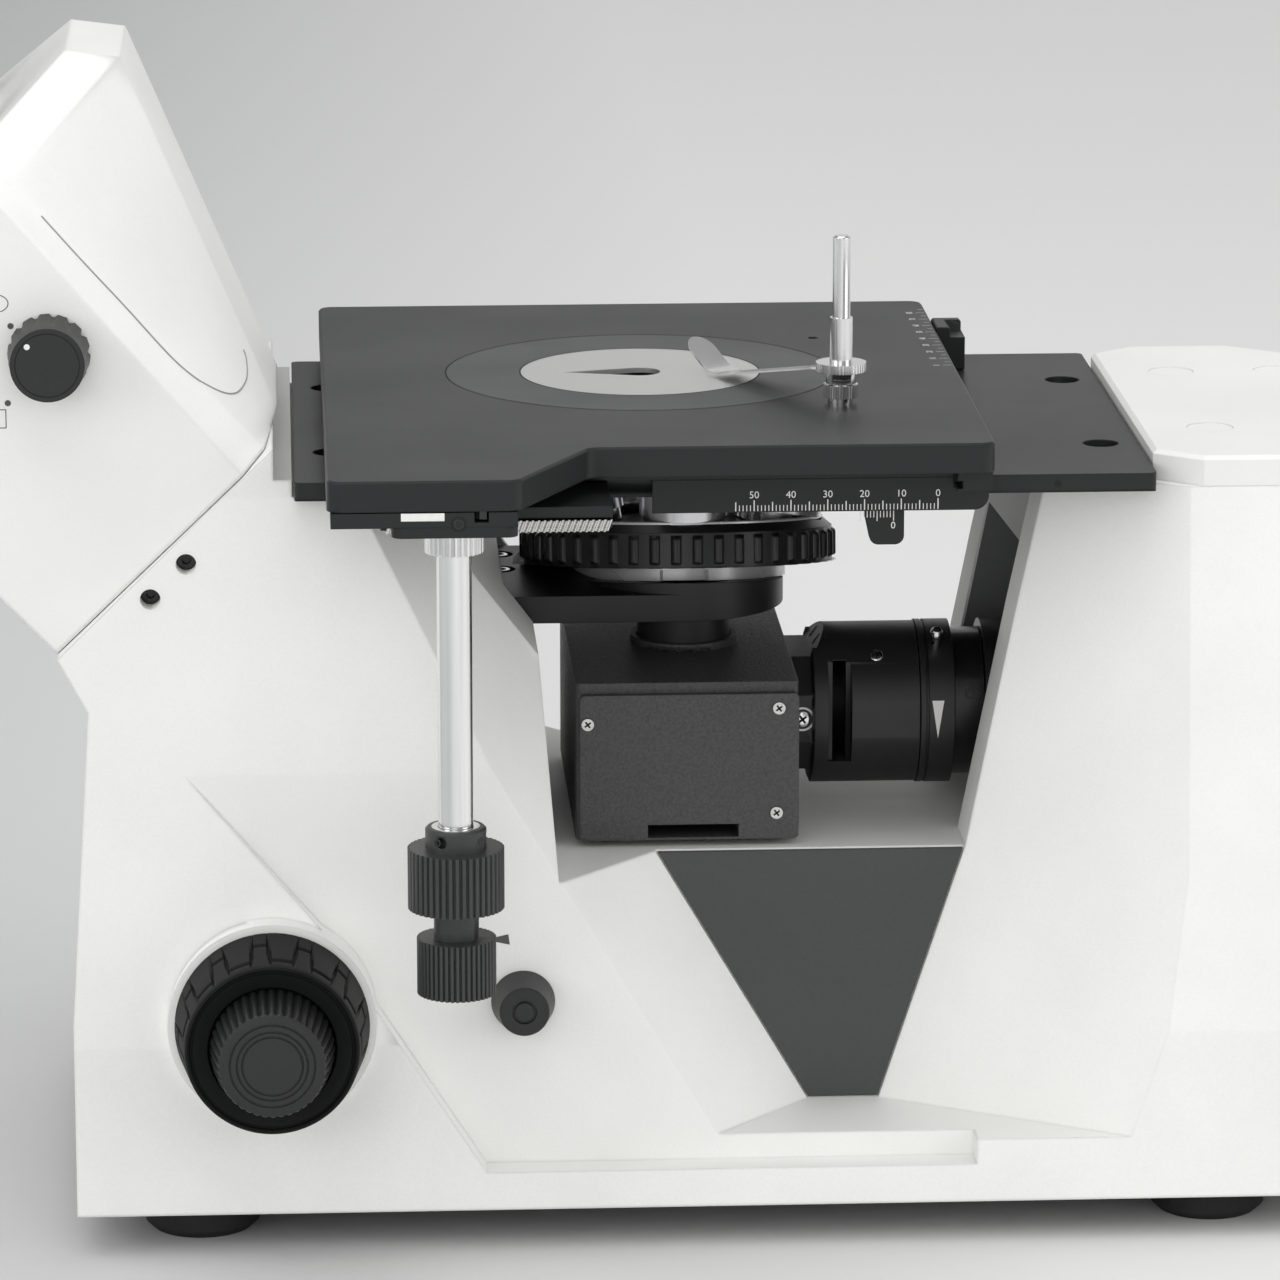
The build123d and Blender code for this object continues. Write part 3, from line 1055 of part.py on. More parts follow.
def make_splitter_box():
    """Box with its collar, cover plate, screws and the half mirror on a cradle."""
    x = (-BOX_LEFT, BOX_RIGHT)
    y = (-BOX_FRONT_Y + COVER_T, BOX_BACK_Y)
    z = (STAGE_TOP - BOX_FOOT_DEPTH, STAGE_TOP - BOX_TOP_DEPTH)
    box = rounded_slab(x, y, z, BOX_CORNER)
    box -= block((x[0] + BOX_WALL, x[1] - BOX_WALL), (y[0] + BOX_WALL, y[1] - BOX_WALL),
                 (z[0] + BOX_WALL, z[1] - BOX_WALL))
    collar = z[1] + TUBE_COLLAR_H
    box += rod(TUBE_COLLAR_R, z[1] - BOX_WALL, collar)
    box -= rod(TUBE_R + FACE_GAP, z[1] - BOX_WALL * 2, collar + OVERRUN)
    box -= rod(PATH_BORE_R, z[0] - OVERRUN, z[0] + BOX_WALL * 2)
    box -= along_x(0, LIGHT_Z) * rod(LIGHT_BORE_R, x[1] - BOX_WALL * 2, x[1] + OVERRUN)
    slot = block((-SLOT_LEFT, SLOT_X - SLOT_LEFT), (-BOX_FRONT_Y - OVERRUN, BOX_BACK_Y - BOX_WALL * 2),
                 (STAGE_TOP - SLOT_TOP_DEPTH - SLOT_H, STAGE_TOP - SLOT_TOP_DEPTH))
    box -= slot
    cover = block((x[0] + COVER_SIDE_GAP, x[1]), (-BOX_FRONT_Y, -BOX_FRONT_Y + COVER_T),
                  (z[0], z[1] - COVER_SIDE_GAP * 3))
    cover = fillet(cover.edges().filter_by(Axis.Y), BOX_CORNER)
    cover -= slot
    screws = []
    for screw_x, depth in COVER_SCREW_PLACES:
        spot = along_y(screw_x, STAGE_TOP - depth, -1)
        hole = rod(SCREW_R * SOCKET_SHARE, BOX_FRONT_Y - BOX_WALL * 2, BOX_FRONT_Y + OVERRUN)
        cover -= spot * (hole + rod(COVER_SCREW_R, BOX_FRONT_Y - COVER_SCREW_H, BOX_FRONT_Y + OVERRUN))
        box -= spot * hole
        screw = rod(COVER_SCREW_R, BOX_FRONT_Y - COVER_SCREW_H, BOX_FRONT_Y + COVER_SCREW_H / 2)
        screw += rod(SCREW_R * SOCKET_SHARE, BOX_FRONT_Y - BOX_WALL * 2, BOX_FRONT_Y - COVER_SCREW_H / 2)
        screws.append(spot * screw)
    add("splitter_box", box)
    add("splitter_cover", cover)
    add("cover_screws", *screws)
    side = MIRROR_SIDE / 2
    tilted = Pos(0, 0, LIGHT_Z) * Rot(0, 45, 0)
    mirror_plate = tilted * block((-side, side), (-side, side), (0, MIRROR_T))
    seat = block((-side, side), (-side, side), (z[0] + BOX_WALL, LIGHT_Z + side))
    cradle = seat & (tilted * block((-side * 2, side * 2), (-side, side), (-side * 2, 0)))
    cradle -= rod(PATH_BORE_R, 0, STAGE_TOP)
    add("mirrors", mirror_plate)
    add("optic_mounts", cradle)


def make_illuminator():
    """Reflected-light illuminator: slotted block, bodies, rings with levers and lenses."""
    axis = along_x(0, LIGHT_Z)
    bore = rod(LIGHT_BORE_R, 0, BODY_BACK_X)
    corners = ((LIGHT_BLOCK_HALF, LIGHT_BLOCK_FLAT), (LIGHT_BLOCK_CREST, LIGHT_BLOCK_FOOT))
    upper = [corners[0], corners[1], (-corners[1][0], corners[1][1]), (-corners[0][0], corners[0][1])]
    outline = [(y, LIGHT_Z + z) for y, z in upper] + [(y, LIGHT_Z - z) for y, z in reversed(upper)]
    joint = front_plate(outline, BOX_RIGHT, LIGHT_BLOCK_FACE_X)
    neck = LIGHT_BLOCK_FACE_X - EDGE_BREAK
    joint += axis * (cone(LIGHT_SHOULDER_R, LIGHT_BODY_R, neck, LIGHT_BLOCK_FACE_X)
                     + rod(LIGHT_BODY_R, LIGHT_BLOCK_FACE_X, SLIT_X))
    ramp = [(neck, LIGHT_Z + LIGHT_BLOCK_FOOT), (SLIT_X, LIGHT_Z + LIGHT_BODY_R),
            (neck, LIGHT_Z + LIGHT_BODY_R)]
    joint -= side_plate(ramp, -LIGHT_BLOCK_CREST, LIGHT_BLOCK_CREST)
    add("illuminator_body", joint - axis * bore)
    body = axis * rod(LIGHT_BODY_R, SLIT_X, LIGHT_BODY_FACE_X)
    body -= block((SLIT_X + SLIT_W / 2 - SLOT_H / 2, SLIT_X + SLIT_W / 2 + SLOT_H / 2),
                  (-LIGHT_BODY_R * 2, 0),
                  (LIGHT_Z - SLIT_FOOT, LIGHT_Z + SLIT_TOP))
    body -= block((SLIT_X, SLIT_X + SLIT_W), (-LIGHT_BODY_R * 2, -LIGHT_BORE_R - OVERRUN),
                  (LIGHT_Z - SLIT_FOOT, LIGHT_Z + SLIT_TOP))
    body -= block((SLIT_X + SLIT_W, LIGHT_BODY_FACE_X),
                  (-LIGHT_BODY_R - OVERRUN, -LIGHT_BODY_R + LIGHT_FLAT_DEEP),
                  (LIGHT_Z - LIGHT_BLOCK_FOOT, LIGHT_Z + LIGHT_BLOCK_FOOT))
    add("illuminator_body", body - axis * bore)
    start = LIGHT_BODY_FACE_X + FIELD_RING_GAP
    end = start + FIELD_RING_W
    tube_r = LIGHT_TUBE_R
    inner = tube_r - OVERRUN
    ring = pipe(FIELD_RING_R, inner + RUN_FIT, start, end)
    groove = FIELD_RING_W / 6
    ring -= pipe(FIELD_RING_R + OVERRUN, FIELD_RING_R - GROOVE_W, start + groove, start + groove + GROOVE_W)
    add("field_stop_ring", axis * ring)
    add("field_stop_ring", axis * Rot(0, 0, FIELD_LEVER_TURN) * Pos(0, 0, (start + end) / 2)
        * lever(FIELD_RING_R))
    tube = rod(inner, LIGHT_BODY_FACE_X, end + FIELD_RING_GAP) + rod(tube_r, end + FIELD_RING_GAP,
                                                                     LIGHT_TUBE_FACE_X)
    ring_start = LIGHT_TUBE_FACE_X + APERTURE_RING_GAP
    ring_end = ring_start + REAR_RING_L
    tube += rod(inner, LIGHT_TUBE_FACE_X, ring_end + APERTURE_RING_GAP)
    tube += rod(tube_r, ring_end + APERTURE_RING_GAP, POCKET_BACK_X + REAR_RING_L)
    add("illuminator_tube", axis * (tube - bore))
    add("aperture_ring", axis * pipe(REAR_RING_R, inner + RUN_FIT, ring_start, ring_end))
    add("aperture_ring", axis * Rot(0, 0, APERTURE_LEVER_TURN) * Pos(0, 0, (ring_start + ring_end) / 2)
        * lever(REAR_RING_R))
    disc = rod(LIGHT_BORE_R - RUN_FIT, -CONDENSER_T / 2, CONDENSER_T / 2)
    lens = Pos(0, 0, LIGHT_BODY_FACE_X) * disc
    relay = Pos(0, 0, POCKET_BACK_X) * disc
    add("lenses", axis * lens, axis * relay)


def lever(ring_r):
    """Short pin with a ball end that stands out of a ring along +X of its own frame."""
    turned_out = Rot(0, 90, 0)
    pin = turned_out * rod(LEVER_R, ring_r - OVERRUN / 2, ring_r + LEVER_L)
    return pin + Pos(ring_r + LEVER_L, 0, 0) * Sphere(LEVER_BALL_R) - rod(ring_r, -LEVER_L, LEVER_L)


def make_lamp_house():
    """Finned lamp house on the back of the column, with lamp, socket, collector and knobs."""
    axis = along_x(0, LIGHT_Z)
    face = COLUMN_BACK_X + HOUSE_MOUNT_L
    collar = rod(HOUSE_MOUNT_R - HOUSE_WALL - RUN_FIT, COLUMN_BACK_X - HOUSE_MOUNT_L, COLUMN_BACK_X)
    collar += rod(HOUSE_MOUNT_R, COLUMN_BACK_X + FACE_GAP, face)
    z = (LIGHT_Z - HOUSE_H / 2, LIGHT_Z + HOUSE_H / 2)
    x = (face, face + HOUSE_X)
    shell = block(x, (-HOUSE_HALF_Y, HOUSE_HALF_Y), z)
    shell = fillet(shell.edges().filter_by(Axis.X), HOUSE_CORNER)
    shell = fillet(shell.faces().sort_by(Axis.X)[-1].edges(), HOUSE_CORNER / 2)
    pitch = (HOUSE_X - HOUSE_FIN_MARGIN * 2) / (HOUSE_FIN_COUNT - 1)
    outer = HOUSE_HALF_Y + OVERRUN
    for fin in range(HOUSE_FIN_COUNT):
        place = x[0] + HOUSE_FIN_MARGIN + fin * pitch
        gap = (place - HOUSE_FIN_W / 2, place + HOUSE_FIN_W / 2)
        for way in (-1, 1):
            near, far = sorted((way * (HOUSE_HALF_Y - HOUSE_FIN_DEEP), way * outer))
            shell -= block(gap, (near, far), (z[0] + HOUSE_FIN_MARGIN, z[1] - HOUSE_FIN_MARGIN))
        shell -= block(gap, (-HOUSE_HALF_Y + HOUSE_FIN_MARGIN, HOUSE_HALF_Y - HOUSE_FIN_MARGIN),
                       (z[1] - HOUSE_FIN_DEEP, z[1] + OVERRUN))
    wall = HOUSE_FIN_DEEP + HOUSE_WALL
    room = block((x[0] + wall, x[1] - wall), (-HOUSE_HALF_Y + wall, HOUSE_HALF_Y - wall),
                 (z[0] + wall, z[1] - wall))
    shell += axis * collar
    shell -= axis * rod(COLLECTOR_R + RUN_FIT, COLUMN_BACK_X - HOUSE_MOUNT_L - OVERRUN, x[0] + wall * 2)
    add("lamp_house", shell - room)
    add("lenses", axis * rod(COLLECTOR_R, face - COLLECTOR_T, face))
    middle = (x[0] + x[1]) / 2
    side = LAMP_SOCKET_SIDE / 2
    socket_top = LIGHT_Z - LAMP_L
    post = block((middle - side, middle + side), (-side, side), (z[0] + wall, socket_top))
    add("lamp_house", post)
    bulb = rod(LAMP_R, socket_top, LIGHT_Z)
    add("lamp", Pos(middle, 0, 0) * (bulb + Pos(0, 0, LIGHT_Z) * Sphere(LAMP_R)))


def make_focus_knobs():
    """Coarse and fine knobs on both sides, on their two coaxial shafts, and the tension ring."""
    coarse = cone(COARSE_ROOT_R, COARSE_FACE_R, 0, COARSE_W)
    band = COARSE_W / 3
    for notch in range(COARSE_NOTCHES):
        cut = Rot(0, 0, 360 / COARSE_NOTCHES * notch) * Pos(COARSE_FACE_R + band / 2, 0, COARSE_W / 2)
        width = COARSE_ROOT_R * math.pi / COARSE_NOTCHES
        tool = flat_plate([(-band, -width / 3), (band, -width / 2), (band, width / 2), (-band, width / 3)],
                          -COARSE_W / 4, COARSE_W / 4)
        coarse -= cut * Pos(band - COARSE_NOTCH_DEEP, 0, 0) * tool
    coarse -= rod(FINE_ROOT_R + FACE_GAP, COARSE_W - FINE_W / 3, COARSE_W + OVERRUN)
    coarse -= rod(FINE_SHAFT_R + RUN_FIT, -OVERRUN, COARSE_W + OVERRUN)
    fine_foot = COARSE_W - FINE_W / 3 + FACE_GAP
    fine_top = COARSE_W + FINE_W
    fine = ribbed(FINE_ROOT_R, FINE_RIB_DEPTH, FINE_RIBS, fine_foot, fine_top)
    fine &= cone(FINE_ROOT_R, FINE_FACE_R, fine_foot, fine_top)
    for radius in FINE_FACE_GROOVES:
        fine -= pipe(radius, radius - GROOVE_W, fine_top - GROOVE_W, fine_top + OVERRUN)
    near = along_y(-FOCUS_X, FOCUS_Z, -1) * Pos(0, 0, KNOB_SEAT_Y + FACE_GAP)
    far = along_y(-FOCUS_X, FOCUS_Z) * Pos(0, 0, KNOB_SEAT_Y + TENSION_RING_W + FACE_GAP)
    add("coarse_knobs", near * coarse, far * coarse)
    add("fine_knobs", near * fine, far * fine)
    axis = along_y(-FOCUS_X, FOCUS_Z)
    low = -KNOB_SEAT_Y - FACE_GAP
    high = KNOB_SEAT_Y + TENSION_RING_W + FACE_GAP
    add("coarse_knobs", axis * pipe(COARSE_SHAFT_R, FINE_SHAFT_R + RUN_FIT, low, high))
    add("fine_knobs", axis * rod(FINE_SHAFT_R, low - fine_foot, high + fine_foot))
    tension = ribbed(TENSION_RING_R, FINE_RIB_DEPTH, FINE_RIBS * 2, KNOB_SEAT_Y + FACE_GAP,
                     KNOB_SEAT_Y + TENSION_RING_W)
    add("tension_ring", axis * (tension - rod(COARSE_SHAFT_R + RUN_FIT, 0, high * 2)))


def make_controls():
    """Brightness knob on the near side, and the panel with inlet and switch at the back."""
    side = along_y(-DIMMER_X, STAGE_TOP - DIMMER_DEPTH, -1)
    seat = BAND_HALF_W + FACE_GAP
    knob = cone(DIMMER_ROOT_R, DIMMER_FACE_R, seat, seat + DIMMER_L)
    knob = fillet(knob.edges().sort_by(Axis.Z)[-1:], EDGE_BREAK)
    knob -= pipe(DIMMER_CAP_R + GROOVE_W, DIMMER_CAP_R, seat + DIMMER_L - GROOVE_W, seat + DIMMER_L + OVERRUN)
    add("brightness_knob", side * (knob + rod(DIMMER_CAP_R - RUN_FIT, BAND_HALF_W - DIMMER_L + FACE_GAP,
                                              seat)))

    x = (BODY_BACK_X - REAR_PANEL_T, BODY_BACK_X)
    z = (REAR_PANEL_HEIGHT - REAR_PANEL_H / 2, REAR_PANEL_HEIGHT + REAR_PANEL_H / 2)
    panel = block(x, (-REAR_PANEL_W / 2, REAR_PANEL_W / 2), z)
    inlet_y = -REAR_PANEL_W / 4
    rocker_y = REAR_PANEL_W / 4
    hole = (REAR_PANEL_HEIGHT - INLET_H / 2, REAR_PANEL_HEIGHT + INLET_H / 2)
    panel -= block((x[0] - OVERRUN, x[1] + OVERRUN), (inlet_y - INLET_W / 2, inlet_y + INLET_W / 2), hole)
    well = (rocker_y - ROCKER_W / 2, rocker_y + ROCKER_W / 2)
    rocker_z = (REAR_PANEL_HEIGHT - ROCKER_H / 2, REAR_PANEL_HEIGHT + ROCKER_H / 2)
    gap = ROCKER_GAP
    panel -= block((x[0] - OVERRUN, x[1] + OVERRUN), (well[0] - gap, well[1] + gap),
                   (rocker_z[0] - gap, rocker_z[1] + gap))
    pin = along_y(x[0] - ROCKER_PIN_IN, REAR_PANEL_HEIGHT)
    ear_z = (REAR_PANEL_HEIGHT - ROCKER_EAR_H / 2, REAR_PANEL_HEIGHT + ROCKER_EAR_H / 2)
    for ear in ((well[0] - gap - ROCKER_EAR_T, well[0] - gap), (well[1] + gap, well[1] + gap + ROCKER_EAR_T)):
        panel += block((x[0] - ROCKER_T, x[0]), ear, ear_z)
    panel -= pin * rod(ROCKER_PIN_R + RUN_FIT, well[0] - gap - ROCKER_EAR_T, well[1] + gap + ROCKER_EAR_T)
    add("power_panel", panel)
    deep = x[0] - INLET_DEEP
    inlet = block((deep, x[1]), (inlet_y - INLET_W / 2 + RUN_FIT, inlet_y + INLET_W / 2 - RUN_FIT),
                  (hole[0] + RUN_FIT, hole[1] - RUN_FIT))
    wall = INLET_PIN_R
    inlet -= block((deep + wall, x[1] + OVERRUN),
                   (inlet_y - INLET_W / 2 + wall * 2, inlet_y + INLET_W / 2 - wall * 2),
                   (hole[0] + wall * 2, hole[1] - wall * 2))
    pins = [(inlet_y - INLET_W / 4, REAR_PANEL_HEIGHT - INLET_H / 8),
            (inlet_y, REAR_PANEL_HEIGHT + INLET_H / 6),
            (inlet_y + INLET_W / 4, REAR_PANEL_HEIGHT - INLET_H / 8)]
    for y, height in pins:
        inlet += along_x(y, height) * rod(INLET_PIN_R, deep, deep + INLET_DEEP / 2)
    add("power_panel", inlet)
    rocker = [(x[0] - ROCKER_CROWN, rocker_z[0]), (x[1] + FACE_GAP, rocker_z[0]),
              (x[1] - ROCKER_CROWN / 4, REAR_PANEL_HEIGHT), (x[1] + ROCKER_CROWN, rocker_z[1]),
              (x[0] - ROCKER_CROWN, rocker_z[1]), (x[0] - ROCKER_T, REAR_PANEL_HEIGHT)]
    switch = side_plate(rocker, well[0], well[1])
    switch += pin * rod(ROCKER_PIN_R, well[0] - gap - ROCKER_EAR_T, well[1] + gap + ROCKER_EAR_T)
    add("power_switch", switch)


def make_base_optics():
    """Fold mirror and power supply in the base, and the tube lens in the arm."""
    side = FOLD_MIRROR_W / 2
    spot = Pos(0, 0, PATH_HEIGHT) * Rot(0, -SEAM_TILT / 2, 0)
    add("mirrors", spot * block((-side, side), (-side, side), (-MIRROR_T, 0)))
    wedge = spot * block((-side, side), (-side, side), (-PATH_HEIGHT * 2, -MIRROR_T))
    add("optic_mounts", wedge & block((-BASE_POCKET_FRONT, BASE_POCKET_BACK), (-side, side),
                                      (BASE_Z, PATH_HEIGHT * 2)))
    lens = rod(PATH_BORE_R - LENS_CELL_WALL, -TUBE_LENS_UP - TUBE_LENS_T, -TUBE_LENS_UP)
    cell = pipe(PATH_BORE_R - RUN_FIT, PATH_BORE_R - LENS_CELL_WALL, -TUBE_LENS_UP - TUBE_LENS_T,
                -TUBE_LENS_UP)
    add("lenses", seam_frame() * lens)
    add("optic_mounts", seam_frame() * cell)
    middle = (POWER_POCKET_FRONT + POWER_POCKET_BACK) / 2
    x = (middle - SUPPLY_X / 2, middle + SUPPLY_X / 2)
    board = block(x, (-SUPPLY_Y / 2, SUPPLY_Y / 2),
                  (BASE_Z + SCREW_HEAD_H * 2, BASE_Z + SCREW_HEAD_H * 2 + BOARD_T))
    for post_x in (x[0] + SCREW_HEAD_R * 2, x[1] - SCREW_HEAD_R * 2):
        for way in (-1, 1):
            board += Pos(post_x, way * (SUPPLY_Y / 2 - SCREW_HEAD_R * 2), 0) * rod(SCREW_R, BASE_Z,
                                                                                   BASE_Z + SCREW_HEAD_H * 2)
    board += block((x[0] + SUPPLY_X / 4, middle), (-SUPPLY_Y / 4, SUPPLY_Y / 4),
                   (BASE_Z + SCREW_HEAD_H * 2, BASE_Z + SUPPLY_H))
    add("power_supply", board)


def head_section(up, side, bevel, ridge, shrink=1.0):
    """Cross-section of the head housing at one place up the beam."""
    half = HEAD_HALF_W * shrink
    right = [(side * shrink, half), (bevel * shrink, half - HEAD_BEVEL_W),
             (ridge * shrink, HEAD_RIDGE_HALF_W)]
    low = [(-SEAM_HALF * shrink, half)]
    far = [(x, y, up) for x, y in low + right]
    near = [(x, -y, up) for x, y, up in reversed(far)]
    return Face(Wire.make_polygon(far + near, close=True))


def make_head():
    """Head housing on the seam, its screws, light-path knob and hinged eyepiece tubes."""
    frame = seam_frame()
    low = (HEAD_SIDE_LOW, HEAD_BEVEL_LOW, HEAD_RIDGE_LOW)
    high = (HEAD_SIDE_HIGH, HEAD_BEVEL_HIGH, HEAD_RIDGE_HIGH)
    housing = loft([head_section(FACE_GAP, *low), head_section(HEAD_BODY_L, *high)], ruled=True)
    housing += loft([head_section(HEAD_BODY_L, *high),
                     head_section(HEAD_FACE_L, *high, HEAD_FACE_INSET_SHARE)], ruled=True)
    housing -= rod(HEAD_BORE_R, -OVERRUN, HEAD_FACE_L + OVERRUN)
    knob_spot = Pos(PATH_KNOB_ACROSS, 0, PATH_KNOB_ALONG) * Rot(90, 0, 0)
    housing -= knob_spot * rod(PATH_KNOB_RIB_DEPTH * 3, HEAD_HALF_W - PATH_KNOB_L, HEAD_HALF_W + OVERRUN)
    add("head_housing", frame * housing)
    knob = ribbed(PATH_KNOB_R, PATH_KNOB_RIB_DEPTH, PATH_KNOB_RIBS, HEAD_HALF_W + FACE_GAP,
                  HEAD_HALF_W + PATH_KNOB_L)
    knob &= cone(PATH_KNOB_R, PATH_KNOB_FACE_R, HEAD_HALF_W + FACE_GAP, HEAD_HALF_W + PATH_KNOB_L)
    knob += rod(PATH_KNOB_RIB_DEPTH * 3 - RUN_FIT, HEAD_HALF_W - PATH_KNOB_L + FACE_GAP,
                HEAD_HALF_W + FACE_GAP)
    add("light_path_knob", frame * knob_spot * knob)
    screws = []
    for across in SEAM_SCREWS_ACROSS:
        x, z = seam_point(across, -SEAM_SCREW_BELOW)
        for way in (-1, 1):
            floor = HALF_W_TOP - SEAM_SCREW_DEEP
            screws.append(along_y(x, z, way) * Pos(0, 0, floor) * cap_screw(
                SEAM_SCREW_R - EDGE_BREAK, SEAM_SCREW_R - RUN_FIT, SEAM_SCREW_R, 0))
    add("body_screws", *screws)

    hinge = Pos(HEAD_AXIS, 0, 0)
    plate_foot = HEAD_FACE_L + FACE_GAP
    first = plate_foot + HINGE_UP
    pivot = pipe(PIVOT_R, PIVOT_R - EYECUP_WALL, HEAD_FACE_L, first + EYE_ARM_T * 2 + FACE_GAP * 2)
    base = rod(HINGE_R, HEAD_FACE_L, first - FACE_GAP) - rod(PIVOT_R, 0, first * 2)
    add("head_hinge_plate", frame * hinge * (base + pivot))
    for name, way, foot in (("near", -1, first), ("far", 1, first + EYE_ARM_T + FACE_GAP)):
        make_eye_tube(name, way, foot, frame * hinge)


def make_eye_tube(name, way, foot, frame):
    """One hinged arm with its tube, eyepiece, diopter ring and rubber eyecup."""
    rise = math.sqrt(EYE_ARM_R ** 2 - EYE_HALF_SPACING ** 2)
    spot = Pos(rise, way * EYE_HALF_SPACING, 0)
    base = HEAD_FACE_L + FACE_GAP + HINGE_UP + EYE_ARM_T * 2 + FACE_GAP
    swing = math.degrees(math.atan2(way * EYE_HALF_SPACING, rise))
    bar = Rot(0, 0, swing) * block((0, EYE_ARM_R), (-EYE_BAR_W / 2, EYE_BAR_W / 2), (foot, foot + EYE_ARM_T))
    arm = rod(HUB_R, foot, foot + EYE_ARM_T) + bar
    arm -= rod(PIVOT_R + RUN_FIT, foot - OVERRUN, foot + EYE_ARM_T + OVERRUN)
    barrel = spot * rod(EYE_BLOCK_R, foot, base + EYE_BLOCK_L)
    top = base + EYE_BLOCK_L
    tube = spot * rod(EYE_TUBE_R, top, top + EYE_TUBE_L)
    bore = spot * rod(EYEPIECE_R + RUN_FIT, top + EYE_TUBE_L - EYEPIECE_DIP, top + EYE_TUBE_L + OVERRUN)
    channel = spot * rod(HEAD_BORE_R / 2, foot - OVERRUN, top + EYE_TUBE_L)
    add(f"eye_arm_{name}", frame * (arm + barrel + tube - bore - channel))
    mouth = top + EYE_TUBE_L + (DIOPTER_L + FACE_GAP * 2 if way < 0 else 0)
    if way < 0:
        ring = ribbed(DIOPTER_R, KNURL_DEPTH / 2, KNURL_RIBS, top + EYE_TUBE_L + FACE_GAP, mouth - FACE_GAP)
        add("diopter_ring", frame * spot * (ring - rod(EYEPIECE_R + RUN_FIT, 0, mouth)))
    piece = rod(EYEPIECE_R, top + EYE_TUBE_L - EYEPIECE_DIP + FACE_GAP, mouth)
    piece += cone(EYEPIECE_FLANGE_R, EYEPIECE_TOP_R, mouth, mouth + EYEPIECE_FLANGE_L)
    high = mouth + EYEPIECE_FLANGE_L + EYEPIECE_TOP_L
    piece += rod(EYEPIECE_TOP_R, mouth + EYEPIECE_FLANGE_L, high)
    piece -= cone(EYE_LENS_R - OVERRUN, EYE_LENS_R + OVERRUN, high - OVERRUN, high + RUN_FIT)
    piece -= rod(EYE_LENS_R - OVERRUN, top, high)
    add(f"eyepiece_{name}", frame * spot * piece)
    lens = rod(EYE_LENS_R - OVERRUN, high - OVERRUN * 3, high - OVERRUN)
    add(f"eyepiece_{name}", frame * spot * lens)
    cup = pipe(EYECUP_R, EYEPIECE_TOP_R + RUN_FIT, high - EYECUP_L / 2, high + FACE_GAP)
    cup += pipe(EYECUP_R, EYECUP_R - EYECUP_WALL * 2, high + FACE_GAP, high + EYECUP_L)
    add(f"eyecup_{name}", frame * spot * cup)


def main():
    """Build every sub-part, centre the whole on its base and write one file for each."""
    make_top_plate(STAGE_TOP - PLATE_T)
    make_insert()
    make_slide_plate(STAGE_TOP - PLATE_T - FACE_GAP)
    make_fixed_plate(STAGE_TOP - PLATE_T - FACE_GAP - SLIDE_T - FACE_GAP)
    make_stage_drive()
    make_clip()
    make_body()
    make_cap()
    make_nosepiece()
    make_bracket()
    make_splitter_box()
    make_illuminator()
    make_lamp_house()
    make_focus_knobs()
    make_controls()
    make_base_optics()
    make_head()
    whole = Compound([solid for part in PARTS.values() for solid in part]).bounding_box()
    centre = Pos(-(whole.min.X + whole.max.X) / 2, -(whole.min.Y + whole.max.Y) / 2, 0)
    os.makedirs("parts", exist_ok=True)
    for name, part in PARTS.items():
        export_step(centre * Compound(part), f"parts/{name}.step")
    print(f"{len(PARTS)} parts, centre moved by {centre.position.X:.4f}, {centre.position.Y:.4f}")
    print(f"low {whole.min}, high {whole.max}")


main()
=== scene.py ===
"""Looks of an inverted microscope for opaque samples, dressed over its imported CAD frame.

Lengths in this file are millimetres, counted sideways from the optical axis and upwards from the bench.
They become metres where a mesh is stored.
"""

from __future__ import annotations

import json
import logging
import math
from dataclasses import dataclass, field
from enum import Enum
from functools import lru_cache
from typing import Callable, Sequence

import bmesh
import bpy
import numpy as np
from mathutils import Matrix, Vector
from mathutils.bvhtree import BVHTree

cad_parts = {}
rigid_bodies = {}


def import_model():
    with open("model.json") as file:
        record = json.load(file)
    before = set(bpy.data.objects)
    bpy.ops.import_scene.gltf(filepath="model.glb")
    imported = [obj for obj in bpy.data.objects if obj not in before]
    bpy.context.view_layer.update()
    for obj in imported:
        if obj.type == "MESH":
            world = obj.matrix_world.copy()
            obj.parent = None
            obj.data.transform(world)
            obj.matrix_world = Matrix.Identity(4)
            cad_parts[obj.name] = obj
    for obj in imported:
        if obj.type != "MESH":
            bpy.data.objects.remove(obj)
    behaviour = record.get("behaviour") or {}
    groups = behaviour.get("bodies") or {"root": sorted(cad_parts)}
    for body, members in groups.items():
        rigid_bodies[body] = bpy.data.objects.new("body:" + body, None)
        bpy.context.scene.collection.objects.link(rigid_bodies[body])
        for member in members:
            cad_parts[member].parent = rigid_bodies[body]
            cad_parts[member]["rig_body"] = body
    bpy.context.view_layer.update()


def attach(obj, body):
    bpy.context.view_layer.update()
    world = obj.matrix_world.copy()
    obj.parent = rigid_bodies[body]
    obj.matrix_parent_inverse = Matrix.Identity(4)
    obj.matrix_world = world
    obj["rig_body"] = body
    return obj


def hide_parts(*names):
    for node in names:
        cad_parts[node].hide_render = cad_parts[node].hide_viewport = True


LOG = logging.getLogger("microscope")
METRES = 0.001
AXIS_X = 0.3079
STAGE_TOP = 228.0
# metres within which two points are one, and below which an edge has no length
SAME_POINT, NO_LENGTH = 2e-6, 1e-7
# degrees within which neighbouring faces are one flat
ONE_FLAT = 0.4
# share of a font's size that its figures are tall
FIGURE_SHARE = 0.7
COAT_ROUGHNESS = 0.12
RINGS_PER_METRE = 2600.0
BEVEL_SAMPLES = 4
# metres before the optical axis from which a line looks for a surface
FAR_START = 0.4
# a direction that no tube follows
ASIDE = (0.31, 0.17, 0.93)
Array = np.ndarray
Triple = tuple[float, float, float]
Pair = tuple[float, float]
Piece = bpy.types.Object
Socket = bpy.types.NodeSocket


